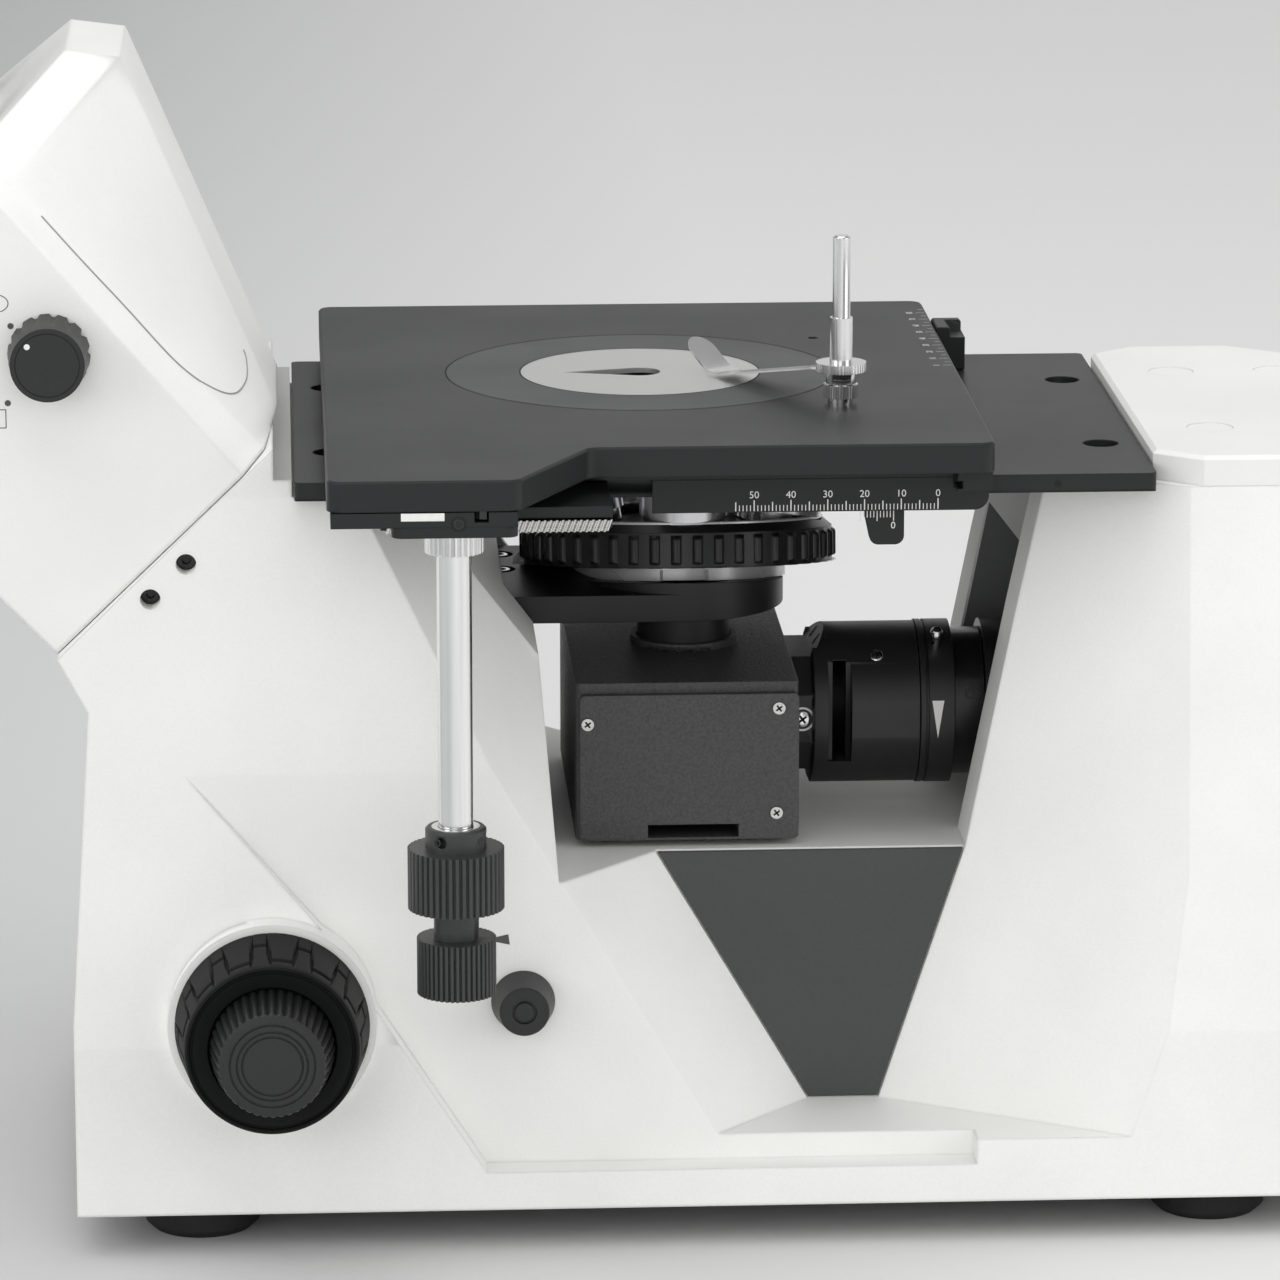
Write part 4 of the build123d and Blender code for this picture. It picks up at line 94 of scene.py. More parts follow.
class Way(Enum):
    """Directions that pieces face or turn about."""

    RIGHT = (1.0, 0.0, 0.0)
    BACK = (0.0, 1.0, 0.0)
    FRONT = (0.0, -1.0, 0.0)
    UP = (0.0, 0.0, 1.0)


@dataclass(frozen=True)
class Seat:
    """A place with three directions: right, up, and out of the surface."""

    origin: Triple
    out: Triple = Way.UP.value
    right: Triple = Way.RIGHT.value

    def directions(self) -> Array:
        """Rows right, up and out, made square to each other."""
        out = np.array(self.out, float)
        out /= np.linalg.norm(out)
        right = np.array(self.right, float)
        right -= out * (right @ out)
        if np.linalg.norm(right) < 1e-6:
            right = np.cross(out, (0.0, 1.0, 0.0))
        right /= np.linalg.norm(right)
        return np.stack([right, np.cross(out, right), out])

    def place(self, local: Array) -> Array:
        """Local points as points on the optical axis: origin plus each coordinate along its direction."""
        return np.asarray(local, float) @ self.directions() + np.array(self.origin, float)

    def at(self, across: float, height: float) -> Seat:
        """The point of the seat's plane at another X and Z: y = y0 - (nx (x - x0) + nz (z - z0)) / ny."""
        x, y, z = self.origin
        nx, ny, nz = self.out
        return Seat((across, y - (nx * (across - x) + nz * (height - z)) / ny, height), self.out, self.right)

    def moved(self, right: float = 0.0, up: float = 0.0, out: float = 0.0) -> Seat:
        """The same directions from a point further along them."""
        return Seat(tuple(self.place(np.array([right, up, out]))), self.out, self.right)


def smoothstep(value: Array, low: float, high: float) -> Array:
    """Rises from 0 to 1 as 3t^2 - 2t^3 between low and high."""
    t = np.clip((value - low) / (high - low), 0.0, 1.0)
    return t * t * (3.0 - 2.0 * t)


def around(steps: int) -> Array:
    """Angles in equal steps round a full turn, without its end."""
    return np.linspace(0.0, 2.0 * math.pi, steps, endpoint=False)


def rounded(places: Sequence[Pair], steps: int) -> Array:
    """Points along a smooth curve through places.

    Between b and c, with a before and d after them, the curve is
    p = (2 b + (c - a) t + (2 a - 5 b + 4 c - d) t^2 + (3 b - a - 3 c + d) t^3) / 2.

    Args:
        places: points that the curve passes through.
        steps: points between each two of them.

    Returns:
        The points as rows.
    """
    knots = np.array([places[0], *places, places[-1]], float)
    t = np.linspace(0.0, 1.0, steps, endpoint=False)[:, None]
    spans = []
    for a, b, c, d in zip(knots, knots[1:], knots[2:], knots[3:]):
        square, cube = 2 * a - 5 * b + 4 * c - d, 3 * b - a - 3 * c + d
        spans.append((2 * b + (c - a) * t + square * t ** 2 + cube * t ** 3) / 2)
    return np.concatenate([*spans, knots[-1:]])


def into_scene(name: str, data: bpy.types.ID) -> Piece:
    """A new object that shows the data."""
    piece = bpy.data.objects.new(name, data)
    bpy.context.scene.collection.objects.link(piece)
    return piece


def shade(mesh: bpy.types.Mesh, crease: float) -> None:
    """Smooth all edges but those sharper than crease degrees."""
    mesh.polygons.foreach_set("use_smooth", np.ones(len(mesh.polygons), bool))
    mesh.set_sharp_from_angle(angle=math.radians(crease))


@dataclass
class Heap:
    """Points and faces gathered in millimetres on the optical axis, before they become one piece."""

    points: list[Array] = field(default_factory=list)
    faces: list = field(default_factory=list)
    count: int = 0

    def mesh(self, name: str, faces: list[list[int]]) -> bpy.types.Mesh:
        """A mesh of the points, moved to their place in the scene, with these faces."""
        mesh = bpy.data.meshes.new(name)
        points = np.concatenate(self.points)
        points[:, 0] += AXIS_X
        mesh.from_pydata((points * METRES).tolist(), [], faces)
        return mesh

    def make(self, name: str) -> Piece:
        """Put everything gathered into one object at the origin."""
        raise NotImplementedError

    def lay(self, name: str, finish: Finish, body: str, *replaced: str) -> None:
        """Make the piece and dress it."""
        dress(self.make(name), finish, body, replaced)


@dataclass
class Shell(Heap):
    """Solid forms, whose faces are gathered as whole arrays."""

    def _store(self, points: Array, faces: Array) -> Shell:
        """Keep points, and faces that count from their first."""
        self.points.append(points.reshape(-1, 3))
        self.faces.append(faces + self.count)
        self.count += len(self.points[-1])
        return self

    def grid(self, points: Array, closed: bool = False) -> Shell:
        """Four-sided faces between the rows and columns of a grid of points.

        Args:
            points: array of rows, columns and 3 coordinates.
            closed: whether the last row joins the first.

        Returns:
            The same shell.
        """
        rows, columns = points.shape[:2]
        index = np.arange(rows * columns).reshape(rows, columns)
        if closed:
            index = np.vstack([index, index[:1]])
        corners = [index[:-1, :-1], index[1:, :-1], index[1:, 1:], index[:-1, 1:]]
        return self._store(points, np.stack(corners, axis=-1).reshape(-1, 4))

    def turned(self, seat: Seat, profile: Sequence[Pair], steps: int = 96,
               ripple: Callable[[Array, Array], Array] | None = None) -> Shell:
        """A profile carried round the seat's axis: (r cos a, r sin a, h), with r lessened by ripple(a, h).

        Args:
            seat: centre and axis.
            profile: pairs of radius and height along the axis.
            steps: how many times the profile is repeated in a turn.
            ripple: depth of ribs at an angle and a height, or None.

        Returns:
            The same shell.
        """
        angle = around(steps)[:, None]
        radius, height = np.array(profile, float).T
        radius = np.broadcast_to(radius, (steps, len(height)))
        if ripple is not None:
            radius = radius - ripple(angle, height[None, :]) * (radius > 0)
        height = np.broadcast_to(height, radius.shape)
        grid = np.stack([radius * np.cos(angle), radius * np.sin(angle), height], -1)
        return self.grid(seat.place(grid), closed=True)

    def slabs(self, seat: Seat, centres: Array, sizes: Array) -> Shell:
        """Boxes: the eight corners of a unit cube times each size, plus each centre."""
        centres, sizes = np.atleast_2d(centres).astype(float), np.atleast_2d(sizes).astype(float)
        unit = np.array([(x, y, z) for x in (-0.5, 0.5) for y in (-0.5, 0.5) for z in (-0.5, 0.5)])
        sides = np.array([(0, 1, 3, 2), (4, 6, 7, 5), (0, 4, 5, 1), (2, 3, 7, 6), (0, 2, 6, 4), (1, 5, 7, 3)])
        corners = centres[:, None, :] + unit[None] * sizes[:, None, :]
        faces = sides[None] + 8 * np.arange(len(centres))[:, None, None]
        return self._store(seat.place(corners.reshape(-1, 3)), faces.reshape(-1, 4))

    def tube(self, path: Array, radius: float, steps: int = 12) -> Shell:
        """A round section along a path: each ring is path + r (cos a n1 + sin a n2), closed at both ends."""
        path = np.asarray(path, float)
        along = np.gradient(path, axis=0)
        along /= np.linalg.norm(along, axis=1, keepdims=True)
        side = np.cross(along, ASIDE)
        side /= np.linalg.norm(side, axis=1, keepdims=True)
        other = np.cross(along, side)
        angle = around(steps)[:, None, None]
        rings = path[None] + radius * (np.cos(angle) * side[None] + np.sin(angle) * other[None])
        ends = [np.broadcast_to(path[[i]][None], (steps, 1, 3)) for i in (0, -1)]
        return self.grid(np.concatenate([ends[0], rings, ends[1]], axis=1), closed=True)

    def make(self, name: str, crease: float = 32.0) -> Piece:
        """Put everything gathered into one object at the origin, closed up and shaded.

        Args:
            name: name of the object.
            crease: angle in degrees past which an edge stays sharp.

        Returns:
            The new object.
        """
        mesh = self.mesh(name, np.concatenate(self.faces).tolist())
        piece = into_scene(name, mesh)
        work = bmesh.new()
        work.from_mesh(mesh)
        bmesh.ops.remove_doubles(work, verts=work.verts, dist=SAME_POINT)
        bmesh.ops.dissolve_degenerate(work, edges=work.edges, dist=NO_LENGTH)
        bmesh.ops.recalc_face_normals(work, faces=work.faces)
        work.to_mesh(mesh)
        work.free()
        shade(mesh, crease)
        mesh.update()
        return piece


def recast(node: str, crease: float = 24.0) -> Piece:
    """A copy of a CAD node with its loose triangles joined, so that curves shade smoothly.

    Args:
        node: the CAD node.
        crease: angle in degrees past which an edge stays sharp.

    Returns:
        The copy, whose normals follow its largest faces.
    """
    mesh = bpy.data.objects[node].data.copy()
    mesh.materials.clear()
    work = bmesh.new()
    work.from_mesh(mesh)
    bmesh.ops.remove_doubles(work, verts=work.verts, dist=SAME_POINT)
    bmesh.ops.dissolve_limit(work, angle_limit=math.radians(ONE_FLAT), verts=work.verts, edges=work.edges)
    work.to_mesh(mesh)
    work.free()
    shade(mesh, crease)
    piece = into_scene(f"{node}_skin", mesh)
    evened = piece.modifiers.new("evened_normals", "WEIGHTED_NORMAL")
    evened.keep_sharp, evened.weight, evened.mode = True, 100, "FACE_AREA"
    return piece


@dataclass
class Printing(Heap):
    """Printed marks: flat faces just proud of the surface that carries them."""

    lift: float = 0.05

    def _store(self, seat: Seat, flat: Array, faces: Sequence[Sequence[int]]) -> Printing:
        """Keep flat points at the lift height, and their faces."""
        local = np.column_stack([flat[:, :2], np.full(len(flat), self.lift)])
        self.points.append(seat.place(local))
        self.faces += [[i + self.count for i in face] for face in faces]
        self.count += len(flat)
        return self

    def bars(self, seat: Seat, centres: Array, sizes: Array) -> Printing:
        """Rectangles: centre plus and minus half of each size."""
        unit = np.array([(-0.5, -0.5), (0.5, -0.5), (0.5, 0.5), (-0.5, 0.5)])
        centres, sizes = np.atleast_2d(centres).astype(float), np.atleast_2d(sizes).astype(float)
        flat = (centres[:, None] + unit[None] * sizes[:, None]).reshape(-1, 2)
        return self._store(seat, flat, np.arange(len(flat)).reshape(-1, 4).tolist())

    def cross(self, seat: Seat, length: float, width: float) -> Printing:
        """A cross recess: two bars over each other."""
        return self.bars(seat, [(0, 0), (0, 0)], [(length, width), (width, length)])

    def outline(self, seat: Seat, corners: Sequence[Pair]) -> Printing:
        """A filled flat shape from its corners."""
        return self._store(seat, np.array(corners, float), [list(range(len(corners)))])

    def ring(self, seat: Seat, outer: float | Pair, inner: float | Pair = 0.01, steps: int = 40) -> Printing:
        """A disc, ring or oval: both lines are (r cos a, s sin a), where one number stands for r and s."""
        circle = np.column_stack([np.cos(around(steps)), np.sin(around(steps))])
        flat = np.vstack([circle * outer, circle * inner])
        following = np.roll(np.arange(steps), -1)
        faces = np.column_stack([np.arange(steps), following, following + steps, np.arange(steps) + steps])
        return self._store(seat, flat, faces.tolist())

    def number(self, seat: Seat, text: str, height: float) -> None:
        """Figures centred on the seat, as tall as height."""
        curve = bpy.data.curves.new("figures", "FONT")
        curve.body, curve.size = text, height / FIGURE_SHARE
        curve.align_x = curve.align_y = "CENTER"
        curve.resolution_u = 3
        holder = into_scene("figures", curve)
        mesh = bpy.data.meshes.new_from_object(holder)
        flat = np.zeros(len(mesh.vertices) * 3)
        mesh.vertices.foreach_get("co", flat)
        self._store(seat, flat.reshape(-1, 3), [list(p.vertices) for p in mesh.polygons])
        bpy.data.objects.remove(holder)
        bpy.data.curves.remove(curve)
        bpy.data.meshes.remove(mesh)

    def make(self, name: str) -> Piece:
        """Put every mark into one object at the origin."""
        mesh = self.mesh(name, self.faces)
        mesh.update()
        return into_scene(name, mesh)


# Finishes


def chip(red: int, green: int, blue: int) -> tuple[float, float, float, float]:
    """A screen colour as linear light: ((c + 0.055) / 1.055) ^ 2.4, and c / 12.92 for the darkest."""
    shares = np.array([red, green, blue]) / 255.0
    linear = np.where(shares <= 0.04045, shares / 12.92, ((shares + 0.055) / 1.055) ** 2.4)
    return (*linear.tolist(), 1.0)


@dataclass
class Wiring:
    """Nodes of one tree, added and joined in short calls."""

    tree: bpy.types.NodeTree

    def add(self, kind: str, **settings: object) -> bpy.types.Node:
        """A node with its properties set."""
        node = self.tree.nodes.new(f"ShaderNode{kind}")
        for name, value in settings.items():
            setattr(node, name, value)
        return node

    def join(self, value: object, socket: Socket) -> None:
        """Link a socket to another, or give it a fixed value."""
        if isinstance(value, Socket):
            self.tree.links.new(value, socket)
        else:
            socket.default_value = value

    def reckon(self, operation: str, first: object, second: object = 0.5) -> Socket:
        """The result of a Math node on two sockets or numbers."""
        node = self.add("Math", operation=operation)
        self.join(first, node.inputs[0])
        self.join(second, node.inputs[1])
        return node.outputs[0]

    def mixed(self, first: Socket, second: Socket, share: float) -> Socket:
        """The sum of a share of the first and the rest of the second."""
        rest = self.reckon("MULTIPLY", second, 1.0 - share)
        return self.reckon("ADD", self.reckon("MULTIPLY", first, share), rest)

    def move(self, operation: str, first: Socket, second: Socket) -> Socket:
        """The result of a vector Math node."""
        node = self.add("VectorMath", operation=operation)
        self.join(first, node.inputs[0])
        self.join(second, node.inputs[1])
        return node.outputs[0]

    def noise(self, vector: Socket, scale: object, detail: float = 2.0) -> Socket:
        """The value of a noise texture at a scale."""
        node = self.add("TexNoise")
        for name, value in (("Detail", detail), ("Vector", vector), ("Scale", scale)):
            self.join(value, node.inputs[name])
        return node.outputs["Fac"]

    def span(self, value: Socket, low: object, high: object) -> Socket:
        """A value of 0.35 to 0.65, where most of a noise lies, carried to low to high."""
        node = self.add("MapRange")
        given = {"From Min": 0.35, "From Max": 0.65, "Value": value, "To Min": low, "To Max": high}
        for name, end in given.items():
            self.join(end, node.inputs[name])
        return node.outputs["Result"]

    def blend(self, share: Socket, first: object, second: object) -> Socket:
        """A colour between two colours."""
        node = self.add("Mix", data_type="RGBA")
        self.join(share, node.inputs["Factor"])
        # a Mix node's sockets 6, 7 and 2 are its two colours and their blend
        self.join(first, node.inputs[6])
        self.join(second, node.inputs[7])
        return node.outputs[2]


def effect(name: str, kinds: dict[str, str]) -> tuple[Wiring, bpy.types.NodeOutputs]:
    """An empty shader node group that is given a place, two colours and two roughnesses.

    Args:
        name: name of the group.
        kinds: socket kind of each further input by its name.

    Returns:
        The group's wiring and the sockets that it is given.
    """
    tree = bpy.data.node_groups.new(name, "ShaderNodeTree")
    always = {"Vector": "Vector", "Light": "Color", "Dark": "Color", "Smooth": "Float", "Rough": "Float"}
    for label, kind in {**always, **kinds}.items():
        tree.interface.new_socket(label, in_out="INPUT", socket_type=f"NodeSocket{kind}")
    for label, kind in (("Color", "Color"), ("Roughness", "Float"), ("Height", "Float")):
        tree.interface.new_socket(label, in_out="OUTPUT", socket_type=f"NodeSocket{kind}")
    return Wiring(tree), tree.nodes.new("NodeGroupInput").outputs


def put_out(wiring: Wiring, given: bpy.types.NodeOutputs, tone: Socket, gloss: Socket,
            height: Socket) -> bpy.types.NodeTree:
    """Lead an effect to its group's outputs.

    Args:
        wiring: the group's wiring.
        given: the sockets that the group is given.
        tone: value that runs from the dark to the light colour.
        gloss: value that runs from the smooth to the rough end.
        height: value that the bump follows.

    Returns:
        The group.
    """
    out = wiring.tree.nodes.new("NodeGroupOutput").inputs
    wiring.join(wiring.blend(wiring.span(tone, 0.0, 1.0), given["Dark"], given["Light"]), out["Color"])
    wiring.join(wiring.span(gloss, given["Smooth"], given["Rough"]), out["Roughness"])
    wiring.join(height, out["Height"])
    return wiring.tree


def grain_effect() -> bpy.types.NodeTree:
    """Sprayed or moulded skin: fine noise for the grain, and broad noise for uneven gloss and tone."""
    wiring, given = effect("skin_grain", {"Scale": "Float"})
    fine = wiring.noise(given["Vector"], given["Scale"], 3.0)
    coarse = wiring.noise(given["Vector"], wiring.reckon("MULTIPLY", given["Scale"], 0.37), 2.0)
    broad = wiring.noise(given["Vector"], 21.0, 3.0)
    return put_out(wiring, given, wiring.mixed(fine, broad, 0.35), broad, wiring.reckon("ADD", fine, coarse))


def crinkle_effect() -> bpy.types.NodeTree:
    """Wrinkle paint: small cells with softened borders, broken up by noise."""
    wiring, given = effect("crinkle_cells", {"Scale": "Float"})
    cells = wiring.add("TexVoronoi", feature="SMOOTH_F1")
    for name, value in (("Smoothness", 0.7), ("Vector", given["Vector"]), ("Scale", given["Scale"])):
        wiring.join(value, cells.inputs[name])
    fine = wiring.noise(given["Vector"], wiring.reckon("MULTIPLY", given["Scale"], 0.8), 3.0)
    height = wiring.reckon("ADD", wiring.reckon("MULTIPLY", cells.outputs["Distance"], -0.9), fine)
    return put_out(wiring, given, fine, fine, height)


def brushed_effect() -> bpy.types.NodeTree:
    """Machined metal: noise drawn out into lines along the direction whose stretch is small."""
    wiring, given = effect("machined_lines", {"Stretch": "Vector"})
    lines = wiring.noise(wiring.move("MULTIPLY", given["Vector"], given["Stretch"]), 1.0, 4.0)
    broad = wiring.noise(given["Vector"], 60.0, 2.0)
    return put_out(wiring, given, lines, wiring.mixed(lines, broad, 0.6), lines)


def turned_effect() -> bpy.types.NodeTree:
    """Lathe marks: noise read only at the distance from an axis, so that it makes rings about it."""
    wiring, given = effect("lathe_rings", {"Centre": "Vector", "Across": "Vector"})
    offset = wiring.move("SUBTRACT", given["Vector"], given["Centre"])
    length = wiring.add("VectorMath", operation="LENGTH")
    wiring.join(wiring.move("MULTIPLY", offset, given["Across"]), length.inputs[0])
    ring = wiring.add("CombineXYZ")
    wiring.join(wiring.reckon("MULTIPLY", length.outputs["Value"], RINGS_PER_METRE), ring.inputs[0])
    lines = wiring.noise(ring.outputs[0], 1.0, 3.0)
    return put_out(wiring, given, lines, lines, lines)


class Effect(Enum):
    """Surface effects that several materials share."""

    GRAIN = "grain"
    CRINKLE = "crinkle"
    BRUSHED = "brushed"
    TURNED = "turned"

    def group(self) -> bpy.types.NodeTree:
        """The node group, built on first use."""
        makers = {"grain": ("skin_grain", grain_effect), "crinkle": ("crinkle_cells", crinkle_effect),
                  "brushed": ("machined_lines", brushed_effect), "turned": ("lathe_rings", turned_effect)}
        name, maker = makers[self.value]
        return bpy.data.node_groups.get(name) or maker()


@dataclass(frozen=True)
class Finish:
    """A surface finish: an effect with its colours, gloss, relief and edge rounding."""

    name: str
    slot: str
    light: tuple[int, int, int]
    dark: tuple[int, int, int]
    smooth: float
    rough: float
    effect: Effect = Effect.GRAIN
    scale: float = 900.0
    relief: float = 0.02
    metal: float = 0.0
    coat: float = 0.0
    clear: float = 0.0
    edge: float = 0.3
    stretch: Triple = (1500.0, 1500.0, 1500.0)
    centre: Triple = (0.0, 0.0, 0.0)
    across: Triple = (1.0, 1.0, 0.0)
    specular: float = 0.5

    def material(self) -> bpy.types.Material:
        """The material, built on first use.

        Returns:
            A material whose colour, roughness and bump come from the effect's group.
        """
        if self.name in bpy.data.materials:
            return bpy.data.materials[self.name]
        material = bpy.data.materials.new(self.name)
        material.use_nodes = True
        wiring = Wiring(material.node_tree)
        shader = material.node_tree.nodes["Principled BSDF"]
        place = wiring.add("TexCoord")
        group = wiring.add("Group", node_tree=self.effect.group())
        wiring.join(place.outputs["Object"], group.inputs["Vector"])
        values = {"Scale": self.scale, "Light": chip(*self.light), "Dark": chip(*self.dark),
                  "Smooth": self.smooth, "Rough": self.rough, "Stretch": self.stretch, "Centre": self.centre,
                  "Across": self.across}
        for socket in group.inputs:
            if socket.name in values:
                socket.default_value = values[socket.name]
        wiring.join(group.outputs["Color"], shader.inputs["Base Color"])
        wiring.join(group.outputs["Roughness"], shader.inputs["Roughness"])
        bump = wiring.add("Bump")
        given = {"Strength": 1.0, "Distance": self.relief * METRES, "Height": group.outputs["Height"]}
        for name, value in given.items():
            wiring.join(value, bump.inputs[name])
        if self.edge:
            softened = wiring.add("Bevel", samples=BEVEL_SAMPLES)
            softened.inputs["Radius"].default_value = self.edge * METRES
            wiring.join(softened.outputs["Normal"], bump.inputs["Normal"])
        wiring.join(bump.outputs["Normal"], shader.inputs["Normal"])
        given = {"Metallic": self.metal, "Coat Weight": self.coat, "Coat Roughness": COAT_ROUGHNESS,
                 "Transmission Weight": self.clear, "Specular IOR Level": self.specular}
        for name, value in given.items():
            wiring.join(value, shader.inputs[name])
        return material


WHITE_PAINT = Finish("white_powder_coat", "white_paint", (240, 240, 237), (232, 232, 229), 0.42, 0.55,
                     scale=1500.0, relief=0.035, edge=1.4)
WHITE_CAP = Finish("white_smooth_cap", "white_paint", (236, 236, 234), (230, 230, 228), 0.35, 0.5,
                   scale=1900.0, relief=0.01, edge=0.5)
HEAD_PAINT = Finish("white_head_paint", "white_paint", (240, 240, 237), (233, 233, 230), 0.36, 0.5,
                    scale=1500.0, relief=0.025, edge=2.2)
NYLON = Finish("white_nylon", "white_plastic", (238, 238, 235), (228, 228, 224), 0.4, 0.55, scale=700.0,
               relief=0.02)
DARK_PANEL = Finish("satin_dark_panel", "dark_panel", (68, 70, 70), (60, 62, 62), 0.45, 0.58, scale=1400.0,
                    relief=0.012, edge=0.6)
# grey for a sheet on the recess's far wall: painted shade of the recess
RECESS_SHADE_GREY = Finish("recess_painted_shade_grey", "dark_panel", (112, 113, 113), (104, 105, 105), 0.5, 0.62,
                     scale=1400.0, relief=0.012, edge=0.0)
ANODISED = Finish("anodised_stage", "stage_black", (38, 39, 40), (34, 35, 36), 0.38, 0.42, scale=2200.0,
                  relief=0.008, edge=0.7, specular=0.3)
INSERT_BLACK = Finish("anodised_insert", "stage_black", (68, 69, 70), (60, 61, 62), 0.42, 0.5, scale=2400.0,
                      relief=0.02, edge=0.3)
CRINKLE = Finish("black_crinkle_paint", "crinkle_black", (70, 70, 71), (52, 52, 53), 0.36, 0.56,
                 effect=Effect.CRINKLE, scale=1500.0, relief=0.11, edge=0.5)
SATIN_BLACK = Finish("satin_black_paint", "gloss_black", (36, 36, 37), (29, 29, 30), 0.34, 0.46, scale=2000.0,
                     relief=0.02, edge=0.4)
BLACK_PAINT = Finish("smooth_black_paint", "gloss_black", (28, 28, 29), (20, 20, 21), 0.24, 0.36,
                     scale=1500.0, relief=0.01, coat=0.15, edge=0.45)
KNOB_BLACK = Finish("moulded_knob_black", "knob_black", (36, 37, 37), (27, 28, 28), 0.36, 0.5, scale=1700.0,
                    relief=0.02, edge=0.35)
TURRET_BLACK = Finish("turned_turret_black", "gloss_black", (34, 35, 35), (26, 27, 27), 0.26, 0.36,
                      scale=1700.0, relief=0.01, edge=0.3)
COARSE_BLACK = Finish("moulded_coarse_knob", "knob_black", (24, 25, 25), (18, 19, 19), 0.5, 0.6, scale=1700.0,
                      relief=0.02, edge=0.25, specular=0.15)
DRIVE_BLACK = Finish("moulded_drive_knob", "knob_black", (60, 61, 61), (48, 49, 49), 0.34, 0.48, scale=1700.0,
                     relief=0.02, edge=0.35)
SOFT_BLACK = Finish("soft_black_rubber", "rubber", (34, 34, 34), (25, 25, 25), 0.65, 0.82, scale=1100.0,
                    relief=0.04, edge=0.6)
SHAFT_STEEL = Finish("drawn_shaft_steel", "steel", (246, 246, 246), (232, 232, 232), 0.14, 0.24,
                     effect=Effect.BRUSHED, relief=0.004, metal=1.0, edge=0.2, stretch=(900.0, 900.0, 12.0))
BRIGHT_STEEL = Finish("turned_bright_steel", "steel", (222, 221, 219), (196, 195, 193), 0.12, 0.26,
                      effect=Effect.BRUSHED, relief=0.004, metal=1.0, edge=0.2, stretch=(60.0, 60.0, 4200.0))
# grey for the line along the head cover's raised lip: painted shade of the lip
SEAM_SHADE = Finish("seam_shade", "", (158, 158, 156), (148, 148, 146), 0.6, 0.8, relief=0.0, edge=0.0)
SCREW_STEEL = Finish("plated_steel", "steel", (236, 236, 236), (226, 226, 226), 0.1, 0.18, scale=2400.0,
                     relief=0.002, metal=1.0, edge=0.12)
OILED_STEEL = Finish("oiled_steel", "steel", (74, 75, 76), (60, 61, 62), 0.3, 0.42, scale=1800.0,
                     relief=0.004, metal=0.8)
SATIN_SILVER = Finish("satin_silver", "steel", (226, 226, 226), (214, 214, 214), 0.22, 0.32, scale=2400.0,
                      relief=0.003, metal=0.4, edge=0.12)
SATIN_DISC = Finish("satin_disc", "steel", (232, 232, 231), (222, 222, 221), 0.34, 0.42, effect=Effect.TURNED,
                    relief=0.006, metal=1.0, edge=0.15, centre=((-12.5 + AXIS_X) * METRES, 0.0, 0.0))
SATIN_CHROME = Finish("satin_chrome", "objective_chrome", (218, 218, 220), (204, 204, 206), 0.16, 0.26,
                      scale=2200.0, relief=0.002, metal=0.9, edge=0.25)
ALUMINIUM = Finish("machined_aluminium", "aluminium", (196, 197, 199), (172, 173, 175), 0.28, 0.42,
                   effect=Effect.BRUSHED, relief=0.006, metal=1.0, stretch=(40.0, 2400.0, 40.0))
LENS_GLASS = Finish("coated_glass", "optical_glass", (206, 220, 232), (196, 212, 226), 0.02, 0.04,
                    scale=200.0, relief=0.0, clear=0.85, coat=0.4, edge=0.0)
MIRROR = Finish("front_silvered", "mirror_glass", (236, 236, 238), (230, 230, 233), 0.02, 0.04, scale=200.0,
                relief=0.0, metal=1.0, edge=0.0)
BOARD = Finish("circuit_board", "board", (34, 92, 58), (26, 74, 46), 0.3, 0.5, scale=600.0, relief=0.02)
WHITE_INK = Finish("white_ink", "", (240, 236, 234), (222, 222, 220), 0.5, 0.62, scale=2600.0, relief=0.0,
                   edge=0.0)
GREY_INK = Finish("grey_ink", "", (84, 85, 85), (76, 77, 77), 0.5, 0.62, scale=2600.0, relief=0.0, edge=0.0)
# near-black for flat prints over holes, slots, gaps, grooves and screw recesses: painted shade of their
# insides
HOLE_SHADE = Finish("painted_hole_shade", "", (14, 14, 14), (9, 9, 9), 0.6, 0.8, scale=900.0, relief=0.0, edge=0.0)


def dress(piece: Piece, finish: Finish, body: str, replaced: Sequence[str] = ()) -> None:
    """Give a new piece its finish and its body.

    Args:
        piece: the new object.
        finish: what its surface is like.
        body: the CAD body that carries it.
        replaced: CAD nodes that it stands for.
    """
    piece.data.materials.clear()
    piece.data.materials.append(finish.material())
    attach(piece, body)
    if replaced:
        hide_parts(*replaced)
    LOG.info("%s rides on %s in %s", piece.name, body, finish.name)


@lru_cache(maxsize=None)
def solid_tree(node: str) -> BVHTree:
    """The faces of a CAD node, sorted so that a line through them is quick to follow."""
    mesh = bpy.data.objects[node].data
    return BVHTree.FromPolygons([tuple(v.co) for v in mesh.vertices],
                                [tuple(p.vertices) for p in mesh.polygons])


def landing(node: str, across: float, height: float, way: Way = Way.BACK) -> Seat:
    """Where a straight line through a place meets a CAD node.

    Args:
        node: the CAD node that carries a mark.
        across: millimetres along X from the optical axis.
        height: millimetres above the bench.
        way: the direction in which the line runs, along Y.

    Returns:
        A seat on the surface, facing out of it.
    """
    start = Vector(((across + AXIS_X) * METRES, -FAR_START * way.value[1], height * METRES))
    point, normal, _, _ = solid_tree(node).ray_cast(start, Vector(way.value))
    if point is None:
        raise ValueError(f"nothing of {node} at {across}, {height}")
    place = np.array(point) / METRES - (AXIS_X, 0.0, 0.0)
    out = np.array(normal) if normal[1] * way.value[1] < 0 else -np.array(normal)
    return Seat(tuple(place), tuple(out), Way.RIGHT.value)


def face_seat(node: str, way: Way) -> Seat:
    """The middle of a CAD node's outermost face in one direction, facing that way."""
    corners = np.array(bpy.data.objects[node].bound_box) / METRES
    low, high = corners.min(axis=0), corners.max(axis=0)
    out = np.array(way.value)
    place = (low + high) / 2 + out * (high - low) / 2 - (AXIS_X, 0.0, 0.0)
    return Seat(tuple(place), way.value, Way.RIGHT.value if out[0] == 0 else Way.BACK.value)


